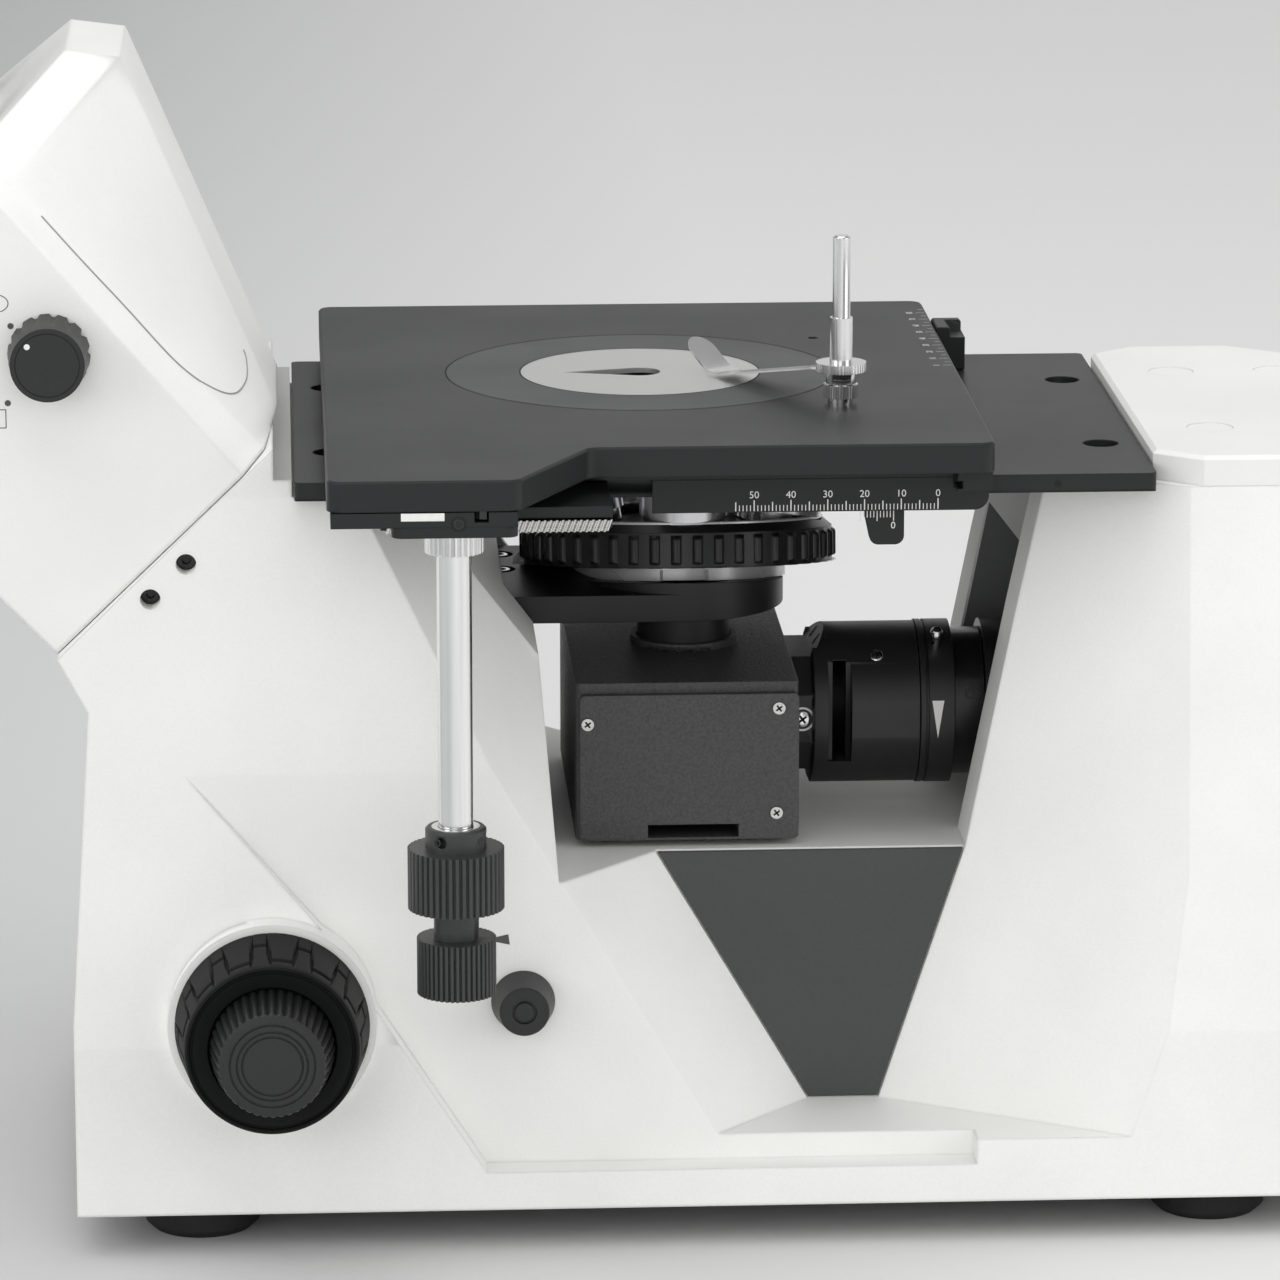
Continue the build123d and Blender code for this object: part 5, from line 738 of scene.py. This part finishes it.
def pan_screw(name: str, seat: Seat, radius: float, body: str) -> None:
    """A screw with a low round head and its cross recess, with the finish of each; the recess is a flat print
    of painted shade.
    """
    head = [(0.0, -0.3), (radius, -0.3), (radius, 0.12), (radius * 0.86, 0.34), (radius * 0.5, 0.46),
            (0.0, 0.5)]
    Shell().turned(seat, head, 40).lay(name, SCREW_STEEL, body)
    # the cross recess is a flat near-black print: painted shade
    Printing(lift=0.52).cross(seat, radius * 1.2, radius * 0.28).lay(f"{name}_recess", HOLE_SHADE, body)


def set_screw(name: str, seat: Seat, radius: float, finish: Finish, body: str) -> None:
    """A grub screw's end, whose six-sided socket is 0.5 r / cos(angle to the flat) from its axis.

    Args:
        name: name of the piece.
        seat: the face that it sits in, facing out.
        radius: outside of the screw.
        finish: what its surface is like.
        body: the CAD body that carries it.
    """
    angle = around(36)
    sixth = math.pi / 3
    flat = radius * 0.5 / np.cos((angle + sixth / 2) % sixth - sixth / 2)
    rings = [(np.full(36, radius), 0.0), (np.full(36, radius * 0.93), 0.07), (flat, 0.07), (flat, -1.0),
             (np.zeros(36), -1.0)]
    grid = [np.stack([r * np.cos(angle), r * np.sin(angle), np.full(36, h)], -1) for r, h in rings]
    Shell().grid(seat.place(np.stack(grid, 1)), closed=True).lay(name, finish, body)


@dataclass
class SubAssembly:
    """Pieces of one part of the instrument, built and dressed together."""

    def skins(self) -> dict[str, Finish]:
        """CAD nodes whose form is kept, with the finish that each gets."""
        return {}

    def details(self) -> None:
        """Pieces and marks that are finer than the CAD."""

    def build(self) -> None:
        """Skin every node, then add the details."""
        for node, finish in self.skins().items():
            body = bpy.data.objects[node]["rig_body"]
            dress(recast(node), finish, body, [node])
        self.details()


@dataclass
class Stage(SubAssembly):
    """Three stage plates, the inserts, the racks and the printed scales."""

    edge_x: float = 77.5
    scale_near_y: float = 4.0
    scale_marks: int = 9
    bar_face_y: float = -87.7
    bar_foot_z: float = STAGE_TOP - 21.8
    bar_zero_x: float = 63.6
    bar_length: int = 55
    tab_face_y: float = -85.0
    tab_zero_x: float = 51.8
    rest_x: float = -12.5
    insert_radii: Pair = (55.0, 34.0)
    front_y: float = -144.0
    clamp: Pair = (-68.0, STAGE_TOP - 11.6)
    stop_place: Triple = (-77.4, -141.05, STAGE_TOP - 9.6)
    stop_size: Triple = (11.4, 6.0, 2.1)
    tapped_hole: Triple = (96.6, -85.0, STAGE_TOP - 15.4)

    def skins(self) -> dict[str, Finish]:
        """Plates in anodised black, racks and disc in steel."""
        plates = ("stage_top_plate", "slide_plate", "stage_base_plate", "y_guide_rail", "x_scale_bar",
                  "y_vernier_block", "x_vernier_tab", "rack_tongue", "drive_bracket")
        return {**{node: ANODISED for node in plates}, "insert_ring": INSERT_BLACK, "insert_disc": SATIN_DISC,
                "x_rack": BRIGHT_STEEL, "y_rack": OILED_STEEL}

    def y_scale(self) -> Printing:
        """Ticks each 5 mm and figures each 10 mm along the right edge of the top plate."""
        ink = Printing(lift=0.06)
        edge = Seat((self.edge_x, self.scale_near_y, STAGE_TOP))
        steps = np.arange(2 * self.scale_marks) * 5.0
        long = 1.5 + 1.1 * (np.arange(len(steps)) % 2 == 0)
        ink.bars(edge, np.column_stack([-0.9 - long / 2, steps]),
                 np.column_stack([long, np.full(len(steps), 0.28)]))
        for mark in range(self.scale_marks):
            place = Seat((self.edge_x - 5.2, self.scale_near_y + 10.0 * mark, STAGE_TOP),
                         right=Way.BACK.value)
            ink.number(place, str(10 * mark), 1.9)
        return ink

    def x_scale(self) -> Printing:
        """Ticks each millimetre and figures each 10 mm on the bar under the top plate."""
        ink = Printing(lift=0.06)
        zero = Seat((self.bar_zero_x, self.bar_face_y, self.bar_foot_z), Way.FRONT.value)
        steps = np.arange(self.bar_length + 1)
        long = np.where(steps % 10 == 0, 3.0, np.where(steps % 5 == 0, 2.5, 1.6))
        wide = np.where(steps % 5 == 0, 0.3, 0.22)
        ink.bars(zero, np.column_stack([-steps, 0.35 + long / 2]), np.column_stack([wide, long]))
        for step in range(0, self.bar_length + 1, 10):
            ink.number(zero.moved(right=-step, up=4.75), str(step), 1.95)
        return ink

    def vernier(self) -> Printing:
        """Ten ticks over nine millimetres on the hanging tab."""
        ink = Printing(lift=0.06)
        zero = Seat((self.tab_zero_x, self.tab_face_y, self.bar_foot_z), Way.FRONT.value)
        steps = np.arange(11)
        long = np.where(steps % 5 == 0, 2.9, 1.9)
        ink.bars(zero, np.column_stack([-0.9 * steps, -0.5 - long / 2]),
                 np.column_stack([np.full(11, 0.24), long]))
        ink.number(zero.moved(right=-0.1, up=-4.7), "0", 1.9)
        return ink

    def details(self) -> None:
        """Scales, the nylon stop and the set screw at the drive end."""
        self.y_scale().lay("y_scale_print", WHITE_INK, "stage_y")
        self.x_scale().lay("x_scale_print", WHITE_INK, "stage_x")
        self.vernier().lay("vernier_print", WHITE_INK, "root")
        stop = Shell().slabs(Seat(self.stop_place), [(0, 0, 0)], [self.stop_size])
        stop.lay("nylon_stop", NYLON, "stage_x")
        clamp = Seat((self.clamp[0], self.front_y, self.clamp[1]), Way.FRONT.value)
        set_screw("drive_clamp_screw", clamp.moved(out=-0.02), 1.5, BLACK_PAINT, "stage_x")
        # near-black rings at the inserts' gaps, round the clamp screw and over the tapped hole: painted shade
        # of the gaps and holes
        gaps = Printing(lift=0.04)
        for radius in self.insert_radii:
            gaps.ring(Seat((self.rest_x, 0.0, STAGE_TOP)), radius + 0.12, radius - 0.3, 180)
        gaps.lay("insert_gap_lines", HOLE_SHADE, "stage_y")
        Printing().ring(clamp, 2.1, 1.5).lay("drive_clamp_rim", HOLE_SHADE, "stage_x")
        hole = Printing().ring(Seat(self.tapped_hole, Way.FRONT.value), 1.0)
        hole.lay("plate_tapped_hole", HOLE_SHADE, "root")


@dataclass
class StageDrive(SubAssembly):
    """The hanging coaxial shaft with its two knurled knobs."""

    centre: Pair = (-68.9, -128.0)
    collar_z: float = 127.5
    collar_radius: float = 8.2
    collar_half: float = 2.9
    bearing: tuple[Pair, ...] = ((4.85, -0.4), (6.5, -0.4), (6.5, 0.06), (6.2, 0.14), (5.2, 0.14),
                                 (4.85, 0.02), (4.85, -0.4))

    def skins(self) -> dict[str, Finish]:
        """Steel shaft and moulded knobs."""
        return {"x_drive_shaft": SHAFT_STEEL, "x_drive_knob": DRIVE_BLACK, "y_drive_knob": DRIVE_BLACK}

    def details(self) -> None:
        """Two grub screws in the collar and the bearing in its mouth."""
        for name, degrees in (("collar_screw_left", 232.0), ("collar_screw_right", 322.0)):
            out = (math.cos(math.radians(degrees)), math.sin(math.radians(degrees)), 0.0)
            centre = Seat((*self.centre, self.collar_z), out, Way.UP.value)
            set_screw(name, centre.moved(out=self.collar_radius), 1.1, BLACK_PAINT, "x_drive")
        mouth = Seat((*self.centre, self.collar_z + self.collar_half + 0.01))
        Shell().turned(mouth, self.bearing, 64).lay("collar_bearing", SCREW_STEEL, "x_drive")


@dataclass
class SpecimenClip(SubAssembly):
    """Post, sleeve, knurled nut and spring leaf."""

    def skins(self) -> dict[str, Finish]:
        """All of bright steel."""
        return {"clip_post": SCREW_STEEL, "clip_arm": SCREW_STEEL}


@dataclass
class Stand(SubAssembly):
    """The one-piece body, its panels, its cap and its feet."""

    seam_screws: tuple[Pair, ...] = ((-140.3, 192.2), (-150.1, 182.8))
    lining_y: float = 36.0
    lining: tuple[Pair, ...] = ((91.4, 181.0), (76.4, 104.0), (108.0, 104.0), (109.5, 157.5))
    ring_outer: float = 3.6
    ring_inner: float = 2.85
    wedge_place: Pair = (-55.6, 87.0)
    wedge: tuple[Pair, ...] = ((-3.4, -0.2), (2.4, -1.5), (2.0, 1.5), (-3.4, 0.3))

    def skins(self) -> dict[str, Finish]:
        """White paint, dark panels, black feet."""
        return {"body_casting": WHITE_PAINT, "column_cap": WHITE_CAP, "cap_plugs": WHITE_CAP,
                "side_panels": DARK_PANEL, "bottom_plate": DARK_PANEL, "rubber_feet": SOFT_BLACK,
                "body_screws": BLACK_PAINT, "power_panel": KNOB_BLACK, "power_switch": KNOB_BLACK,
                "power_supply": BOARD, "optic_mounts": ALUMINIUM, "mirrors": MIRROR, "lenses": LENS_GLASS}

    def details(self) -> None:
        """Rings round the head's screws, a grey sheet of painted shade in the recess and the brightness
        knob's wedge.
        """
        rings = Printing()
        for across, height in self.seam_screws:
            beside = landing("body_casting", across, height - self.ring_outer)
            rings.ring(beside.at(across, height), self.ring_outer, self.ring_inner)
        rings.lay("seam_screw_rings", WHITE_CAP, "root")
        # a grey sheet on the recess's far wall, darker than the white body: painted shade of the recess
        recess = Seat((0.0, self.lining_y, 0.0), Way.FRONT.value)
        Printing(lift=0.08).outline(recess, self.lining).lay("recess_lining", RECESS_SHADE_GREY, "root")
        wedge = Printing().outline(landing("body_casting", *self.wedge_place), self.wedge)
        wedge.lay("brightness_wedge", GREY_INK, "root")


@dataclass
class Nosepiece(SubAssembly):
    """Bracket, turret, flange, objectives and the slide that carries them."""

    axis: Seat = Seat((0.0, 27.0, 167.0), (0.0, math.sin(math.radians(9.7)), math.cos(math.radians(9.7))))
    rim_radius: float = 45.8
    rim_height: float = 10.0
    rib_height: float = 1.2
    ribs: int = 46
    plate_radius: float = 31.0
    notch: float = 13.0
    bracket_top: float = 166.4
    bracket_screw_x: float = -51.6
    bracket_screws: Pair = (20.3, 39.7)
    screw_head: tuple[Pair, ...] = ((1.55, -1.2), (2.9, -1.2), (2.9, -0.1), (2.6, 0.08), (1.75, 0.08),
                                    (1.55, -0.1), (1.55, -1.2))
    edge: tuple[Pair, ...] = ((40.2, 12.0), (41.9, 12.1), (41.9, 12.75), (41.5, 13.0), (40.6, 13.0),
                              (40.2, 12.0))

    def skins(self) -> dict[str, Finish]:
        """Black bracket, satin objectives and bare slides."""
        return {"nosepiece_bracket": SATIN_BLACK, "objectives": SATIN_CHROME, "focus_slide": ALUMINIUM,
                "focus_guide": ALUMINIUM}

    def grip(self) -> Shell:
        """The rim's rounded ribs: half waves, h max(cos(n a), 0) ^ 0.6, that fade out at both ends."""
        def ribs(angle: Array, height: Array) -> Array:
            top = self.rim_height
            ends = smoothstep(height, 0.9, 1.7) * (1.0 - smoothstep(height, top - 1.7, top - 0.7))
            return self.rib_height * (1.0 - np.clip(np.cos(self.ribs * angle), 0.0, 1.0) ** 0.6 * ends)
        inner = self.rim_radius - self.rib_height - 0.6
        height = np.linspace(-0.02, self.rim_height + 0.02, 28)
        outer = [(self.rim_radius, h) for h in height]
        profile = [(inner, height[0]), *outer, (inner, height[-1]), (inner, height[0])]
        return Shell().turned(self.axis, profile, self.ribs * 24, ribs)

    def plain_turret(self) -> Piece:
        """The CAD turret without the outside of its rim, whose place the grip takes."""
        piece = recast("turret")
        work = bmesh.new()
        work.from_mesh(piece.data)
        points = np.array([v.co for v in work.verts]) / METRES - (AXIS_X, 0.0, 0.0) - self.axis.origin
        out = np.array(self.axis.out)
        height = points @ out
        radius = np.linalg.norm(points - height[:, None] * out, axis=1)
        outside = (radius > self.rim_radius - 1.5) & (height > -0.1) & (height < self.rim_height + 0.1)
        work.verts.index_update()
        rim = [face for face in work.faces if all(outside[v.index] for v in face.verts)]
        bmesh.ops.delete(work, geom=rim, context="FACES")
        work.to_mesh(piece.data)
        work.free()
        return piece

    def flange(self) -> Shell:
        """The bright fixed plate, notched in the lower part of its rim on the user's left."""
        half = math.asin(self.notch / 2 / self.plate_radius)

        def notch(angle: Array, height: Array) -> Array:
            off = np.abs((angle - 1.5 * math.pi + math.pi) % (2.0 * math.pi) - math.pi)
            return 2.6 * (off < half) * (height < -1.3)
        steps = [(self.plate_radius, h) for h in (-4.35, -3.9, -1.35, -1.25, -0.9, -0.35)]
        profile = [(12.5, -4.4), (self.plate_radius - 0.4, -4.4), *steps, (12.5, -0.35), (12.5, -4.4)]
        return Shell().turned(self.axis, profile, 360, notch)

    def details(self) -> None:
        """The grip, the bright edge above it, the fixed plate and the screws in the bracket."""
        turret = bpy.data.objects["turret"]["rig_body"]
        dress(self.plain_turret(), TURRET_BLACK, turret, ["turret"])
        self.grip().lay("turret_grip", TURRET_BLACK, turret)
        Shell().turned(self.axis, self.edge, 180).lay("turret_edge", SATIN_SILVER, turret)
        carrier = bpy.data.objects["turret_flange"]["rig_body"]
        self.flange().lay("turret_fixed_plate", SATIN_SILVER, carrier, "turret_flange")
        heads = Shell()
        for along in self.bracket_screws:
            heads.turned(Seat((self.bracket_screw_x, along, self.bracket_top)), self.screw_head, 40)
        heads.lay("bracket_screw_heads", SCREW_STEEL, carrier)


@dataclass
class FilterBox(SubAssembly):
    """The box that turns the light upwards, with its screwed cover."""

    screws: tuple[Pair, ...] = ((-30.0, 89.3), (23.4, 85.3), (22.8, 115.4))
    screw_face_y: float = -53.9

    def skins(self) -> dict[str, Finish]:
        """Wrinkle paint and bright screws."""
        return {"splitter_box": CRINKLE, "splitter_cover": CRINKLE, "cover_screws": BRIGHT_STEEL}

    def details(self) -> None:
        """Cross recesses in the cover screws, as flat prints of painted shade."""
        crosses = Printing(lift=0.04)
        for across, depth in self.screws:
            seat = Seat((across, self.screw_face_y, STAGE_TOP - depth), Way.FRONT.value, (0.8, 0.0, 0.6))
            crosses.cross(seat, 2.1, 0.5)
        crosses.lay("cover_screw_recesses", HOLE_SHADE, "root")


@dataclass
class Illuminator(SubAssembly):
    """The light tube from the column with its two stops, and the lamp house behind."""

    axis_z: float = 131.0
    ring_radius: float = 23.4
    body_radius: float = 23.0
    tube_radius: float = 21.0
    block_half: float = 20.5
    block_screw_x: float = 32.6
    body_screw_x: float = 54.0
    ramp: Seat = Seat((37.6, 0.0, 150.6), (-0.8, 0.0, 0.6), Way.BACK.value)
    pin: tuple[Pair, ...] = ((0.0, -0.2), (1.25, -0.2), (1.25, 4.0), (1.8, 4.7), (2.0, 5.5), (1.8, 6.3),
                             (1.2, 7.1), (0.0, 7.45))

    def skins(self) -> dict[str, Finish]:
        """Smooth black tube, wrinkle painted lamp house."""
        return {"illuminator_body": SATIN_BLACK, "illuminator_tube": BLACK_PAINT,
                "field_stop_ring": SATIN_BLACK, "aperture_ring": SATIN_BLACK, "lamp_house": CRINKLE,
                "lamp": LENS_GLASS}

    def details(self) -> None:
        """The field stop's wedge and pin, three screws, and the slots in the shoulder as flat prints of
        painted shade.
        """
        seat = Seat((71.0, -self.ring_radius, self.axis_z), Way.FRONT.value)
        wedge = Printing().outline(seat, [(-1.7, 5.6), (0.0, -5.4), (1.7, 5.6)])
        wedge.lay("field_stop_wedge", WHITE_INK, "field_stop")
        lever = Shell().turned(self.on_tube(71.05, self.ring_radius, 55.0), self.pin, 40)
        lever.lay("field_stop_pin", SCREW_STEEL, "field_stop")
        block = Seat((self.block_screw_x, -self.block_half, self.axis_z), Way.FRONT.value, (0.8, 0.0, 0.6))
        pan_screw("block_screw", block, 2.3, "root")
        Printing().ring(block, 3.5, 2.9).lay("block_screw_ring", WHITE_INK, "root")
        pan_screw("body_screw", self.on_tube(self.body_screw_x, self.body_radius, 48.0), 1.9, "root")
        set_screw("tube_grub_screw", self.on_tube(80.2, self.tube_radius, 18.0), 1.5, KNOB_BLACK, "root")
        # the shoulder's slots are near-black bars: painted shade inside the slots
        slots = Printing(lift=0.06).bars(self.ramp, [(-4.6, 0), (4.6, 0)], [(2.0, 3.6)])
        slots.lay("shoulder_slots", HOLE_SHADE, "root")

    def on_tube(self, across: float, radius: float, degrees: float) -> Seat:
        """A seat on a tube about the light's axis: y = -r cos a, z = r sin a above the axis."""
        turn = math.radians(degrees)
        out = (0.0, -math.cos(turn), math.sin(turn))
        return Seat((across, radius * out[1], self.axis_z + radius * out[2]), out, Way.RIGHT.value)


@dataclass
class FocusKnobs(SubAssembly):
    """Coarse and fine knobs on both sides, and the tension ring."""

    centre: Pair = (-118.6, 67.0)
    near_seat_y: float = -100.3
    far_seat_y: float = 107.0
    root_radius: float = 26.7
    face_radius: float = 23.6
    width: float = 23.3
    tongues: int = 13
    tongue_foot: float = 18.6
    tongue_top: float = 8.4
    groove_depth: float = 0.9
    groove_half: float = 0.62
    fine_foot: float = 19.05
    fine_root: float = 17.0
    fine_face: float = 14.4
    fine_top: float = 37.0
    fine_ribs: int = 40
    face_grooves: Triple = (11.7, 9.8, 8.4)
    groove_form: tuple[Pair, ...] = ((0.0, 0.0), (0.1, 0.35), (0.45, 0.35), (0.55, 0.0))

    def skins(self) -> dict[str, Finish]:
        """Moulded black for what keeps the CAD's form."""
        return {"tension_ring": COARSE_BLACK, "brightness_knob": KNOB_BLACK}

    def tongue_groove(self, angle: Array, height: Array) -> Array:
        """Depth of the groove that runs in tongues round the rim.

        Its line is a wave with flat crests, h0 = foot + (top - foot) clip(2.5 - |10 p - 5|, 0, 1), where p is
        the phase of a tongue. Its depth is d exp(-(distance / half)^2), and the distance
        |h - h0| / sqrt(1 + slope^2).

        Args:
            angle: angles round the knob's axis.
            height: heights along it.

        Returns:
            The depth at each angle and height.
        """
        phase = (angle * self.tongues / (2.0 * math.pi)) % 1.0
        rise = np.clip(2.5 - np.abs(10.0 * phase - 5.0), 0.0, 1.0)
        line = self.tongue_foot + (self.tongue_top - self.tongue_foot) * rise
        arc = 2.0 * math.pi * (self.root_radius + self.face_radius) / 2.0 / self.tongues
        steep = np.where((rise > 0.0) & (rise < 1.0), 10.0 * (self.tongue_top - self.tongue_foot) / arc, 0.0)
        distance = np.abs(height - line) / np.sqrt(1.0 + steep ** 2)
        return self.groove_depth * np.exp(-(distance / self.groove_half) ** 2) * (height < self.width - 2.0)

    def coarse(self, shell: Shell, seat: Seat) -> None:
        """A coned knob with a grooved rim, a rolled lip and a dished face."""
        height = np.linspace(0.6, self.width - 1.6, 64)
        radius = self.root_radius + (self.face_radius - self.root_radius) * height / self.width
        steps = ((0.1, -1.2), (-0.1, -0.4), (-0.7, 0.0), (-1.3, -0.3), (-1.5, -1.0), (-1.9, -1.0),
                 (-2.2, -0.5))
        dish = self.fine_root + 0.3
        lip = [*[(self.face_radius + out, self.width + up) for out, up in steps],
               (dish + 0.2, self.width - 1.5), (dish, self.width - 2.2), (dish, self.fine_foot - 0.3),
               (0.0, self.fine_foot - 0.3)]
        profile = [(0.0, 0.0), (self.root_radius - 0.6, 0.0), *zip(radius, height), *lip]
        shell.turned(seat, profile, 936, self.tongue_groove)

    def fine(self, shell: Shell, seat: Seat) -> None:
        """A ribbed knob whose ribs are lobes, depth d (1 - |cos(n a / 2)|), with rings turned in its face."""
        def lobes(angle: Array, height: Array) -> Array:
            inside = smoothstep(height, self.fine_foot, self.fine_foot + 1.0) * (
                1.0 - smoothstep(height, self.fine_top - 1.6, self.fine_top - 0.2))
            return 1.15 * (1.0 - np.abs(np.cos(angle * self.fine_ribs / 2.0))) * inside
        height = np.linspace(self.fine_foot, self.fine_top - 0.8, 22)
        lean = (height - self.fine_foot) / (self.fine_top - self.fine_foot)
        radius = self.fine_root + (self.fine_face - self.fine_root) * lean ** 1.6
        face = [(self.fine_face - 0.25, self.fine_top - 0.25), (self.fine_face - 0.9, self.fine_top)]
        for groove in self.face_grooves:
            face += [(groove - inwards, self.fine_top - depth) for inwards, depth in self.groove_form]
        profile = [(0.0, self.fine_foot), *zip(radius, height), *face, (0.0, self.fine_top)]
        shell.turned(seat, profile, 480, lobes)

    def details(self) -> None:
        """Both coarse and both fine knobs, each pair on its shaft."""
        x, z = self.centre
        near = Seat((x, self.near_seat_y, z), Way.FRONT.value)
        far = Seat((x, self.far_seat_y, z), Way.BACK.value)
        reach = self.far_seat_y - self.near_seat_y
        for name, maker, radius, spare, finish in (("coarse", self.coarse, 7.0, 0.0, COARSE_BLACK),
                                                   ("fine", self.fine, 3.5, self.fine_foot, KNOB_BLACK)):
            shell = Shell()
            maker(shell, near)
            maker(shell, far)
            near_end = -reach - spare
            shell.turned(far, [(0.0, near_end), (radius, near_end), (radius, spare), (0.0, spare)], 48)
            node = f"{name}_knobs"
            shell.lay(f"{name}_focus_knobs", finish, bpy.data.objects[node]["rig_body"], node)


@dataclass
class ViewingHead(SubAssembly):
    """The inclined head with its swinging eye tubes and the light path knob."""

    dots: tuple[Pair, ...] = ((-186.3, 257.8), (-187.5, 236.7))
    oval: Pair = (-190.6, 264.0)
    frame: Pair = (-191.5, 232.4)
    seam: tuple[Pair, ...] = ((-177.7, 286.4), (-166.9, 274.0), (-155.8, 261.6), (-142.5, 246.5),
                              (-133.6, 238.9), (-126.8, 234.8), (-123.5, 235.9), (-123.4, 239.9),
                              (-124.2, 242.5))

    def skins(self) -> dict[str, Finish]:
        """White housing, black tubes, soft cups."""
        return {"head_housing": HEAD_PAINT, "head_hinge_plate": HEAD_PAINT, "eye_arm_near": BLACK_PAINT,
                "eye_arm_far": BLACK_PAINT, "eyepiece_near": BLACK_PAINT, "eyepiece_far": BLACK_PAINT,
                "eyecup_near": SOFT_BLACK, "eyecup_far": SOFT_BLACK, "diopter_ring": KNOB_BLACK,
                "light_path_knob": KNOB_BLACK}

    def details(self) -> None:
        """The knob's cap line and dot, the marks round it, and the seam of the upper cover; the cap line and
        the seam are drawn as painted shade.
        """
        cap = face_seat("light_path_knob", Way.FRONT)
        # the cap line is a near-black ring: painted shade in the cap's thin groove
        Printing(lift=0.04).ring(cap, 8.75, 8.45, 72).lay("path_knob_line", HOLE_SHADE, "path_selector")
        dot = Printing(lift=0.06).ring(cap.moved(right=-5.3, up=5.1), 0.8)
        dot.lay("path_knob_dot", WHITE_INK, "path_selector")
        marks = Printing()
        for across, height in self.dots:
            marks.ring(landing("head_housing", across, height), 0.85)
        marks.ring(landing("head_housing", *self.oval), (3.9, 2.6), (3.65, 2.35), 48)
        marks.bars(landing("head_housing", *self.frame), [(0, 2.5), (0, -2.5), (-3.4, 0), (3.4, 0)],
                   [(7.0, 0.25), (7.0, 0.25), (0.25, 5.0), (0.25, 5.0)])
        marks.lay("path_marks", GREY_INK, "root")
        # the seam is a grey tube of painted shade along the cover's lip
        route = [landing("head_housing", across, height).origin for across, height in rounded(self.seam, 14)]
        Shell().tube(np.array(route), 0.26, 10).lay("head_cover_seam", SEAM_SHADE, "root")


@dataclass
class Studio:
    """Pale floor and backdrop, soft lamps and the camera."""

    camera_place: Triple = (-113.8, -1800.0, 586.1)
    camera_way: Triple = (352.0, 6250.0, -1515.0)
    lens: float = 182.5
    half_width: float = 7000.0
    front: float = -6000.0
    bend_from: float = 2600.0
    bend_radius: float = 900.0
    wall_top: float = 4200.0
    paper_relief: float = 0.0002
    world_strength: float = 0.92
    gloss_fall: float = 0.5
    shade_from: float = 0.4
    shade_width: float = 0.5

    def floor(self) -> None:
        """A floor that bends up into a backdrop: straight, a quarter circle, and straight again."""
        bend = np.linspace(0.0, math.pi / 2, 24)
        wall = self.bend_from + self.bend_radius
        run = np.concatenate([[self.front], self.bend_from + self.bend_radius * np.sin(bend), [wall]])
        rise = np.concatenate([[0.0], self.bend_radius * (1 - np.cos(bend)), [self.wall_top]])
        across = np.array([-self.half_width, self.half_width])
        grid = np.stack(np.broadcast_arrays(across[:, None], run[None], rise[None]), -1)
        piece = Shell().grid(grid).make("studio_floor", crease=180.0)
        material = bpy.data.materials.new("studio_paper")
        material.use_nodes = True
        wiring = Wiring(material.node_tree)
        shader = material.node_tree.nodes["Principled BSDF"]
        shader.inputs["Roughness"].default_value = 0.9
        place = wiring.add("TexCoord")
        parted = wiring.add("SeparateXYZ")
        wiring.join(place.outputs["Object"], parted.inputs[0])
        # the paper runs from darker on the user's left to lighter on the right: painted shade where less
        # light falls
        lifted = wiring.reckon("ADD", parted.outputs[0], self.shade_from)
        share = wiring.reckon("DIVIDE", lifted, self.shade_width)
        wiring.join(wiring.blend(share, chip(186, 187, 187), chip(226, 226, 225)),
                    shader.inputs["Base Color"])
        bump = wiring.add("Bump")
        bump.inputs["Distance"].default_value = self.paper_relief
        wiring.join(wiring.noise(place.outputs["Object"], 90.0), bump.inputs["Height"])
        wiring.join(bump.outputs["Normal"], shader.inputs["Normal"])
        piece.data.materials.append(material)

    def lamp(self, name: str, place: Triple, target: Triple, size: float, power: float) -> None:
        """A square soft lamp that faces a target."""
        light = bpy.data.lights.new(name, "AREA")
        light.size, light.energy = size * METRES, power
        holder = into_scene(name, light)
        holder.location = Vector(place) * METRES
        holder.rotation_euler = (Vector(target) - Vector(place)).to_track_quat("-Z", "Y").to_euler()

    def camera(self) -> None:
        """A long lens from the user's left, a little above the stage."""
        lens = bpy.data.cameras.new("camera")
        lens.lens, lens.sensor_width = self.lens, 36.0
        lens.clip_start, lens.clip_end = 0.05, 60.0
        holder = into_scene("camera", lens)
        holder.location = (Vector(self.camera_place) + Vector((AXIS_X, 0.0, 0.0))) * METRES
        holder.rotation_euler = Vector(self.camera_way).to_track_quat("-Z", "Y").to_euler()
        bpy.context.scene.camera = holder

    def build(self) -> None:
        """Floor, lamps, world and camera."""
        self.floor()
        middle = (0.0, 0.0, 150.0)
        for name, place, size, power in (("sky_panel", (-300.0, -300.0, 2300.0), 2200.0, 16.0),
                                         ("left_panel", (-2200.0, -1300.0, 900.0), 1500.0, 12.0),
                                         ("right_panel", (2200.0, -1200.0, 900.0), 1500.0, 10.0),
                                         ("front_panel", (-500.0, -2700.0, 700.0), 1600.0, 7.0)):
            self.lamp(name, place, middle, size, power)
        world = bpy.data.worlds.new("studio_world")
        world.use_nodes = True
        background = world.node_tree.nodes["Background"].inputs
        background["Color"].default_value = chip(244, 244, 245)
        wiring = Wiring(world.node_tree)
        gloss = wiring.reckon("MULTIPLY", wiring.add("LightPath").outputs["Is Glossy Ray"], self.gloss_fall)
        wiring.join(wiring.reckon("SUBTRACT", self.world_strength, gloss), background["Strength"])
        bpy.context.scene.world = world
        bpy.context.scene.view_settings.view_transform = "Standard"
        self.camera()


def main() -> None:
    """Load the frame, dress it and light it."""
    logging.basicConfig(level=logging.INFO, format="%(name)s: %(message)s")
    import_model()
    for part in (Stage(), StageDrive(), SpecimenClip(), Stand(), Nosepiece(), FilterBox(), Illuminator(),
                 FocusKnobs(), ViewingHead()):
        LOG.info("building %s", type(part).__name__)
        part.build()
    Studio().build()


if __name__ == "__main__":
    main()
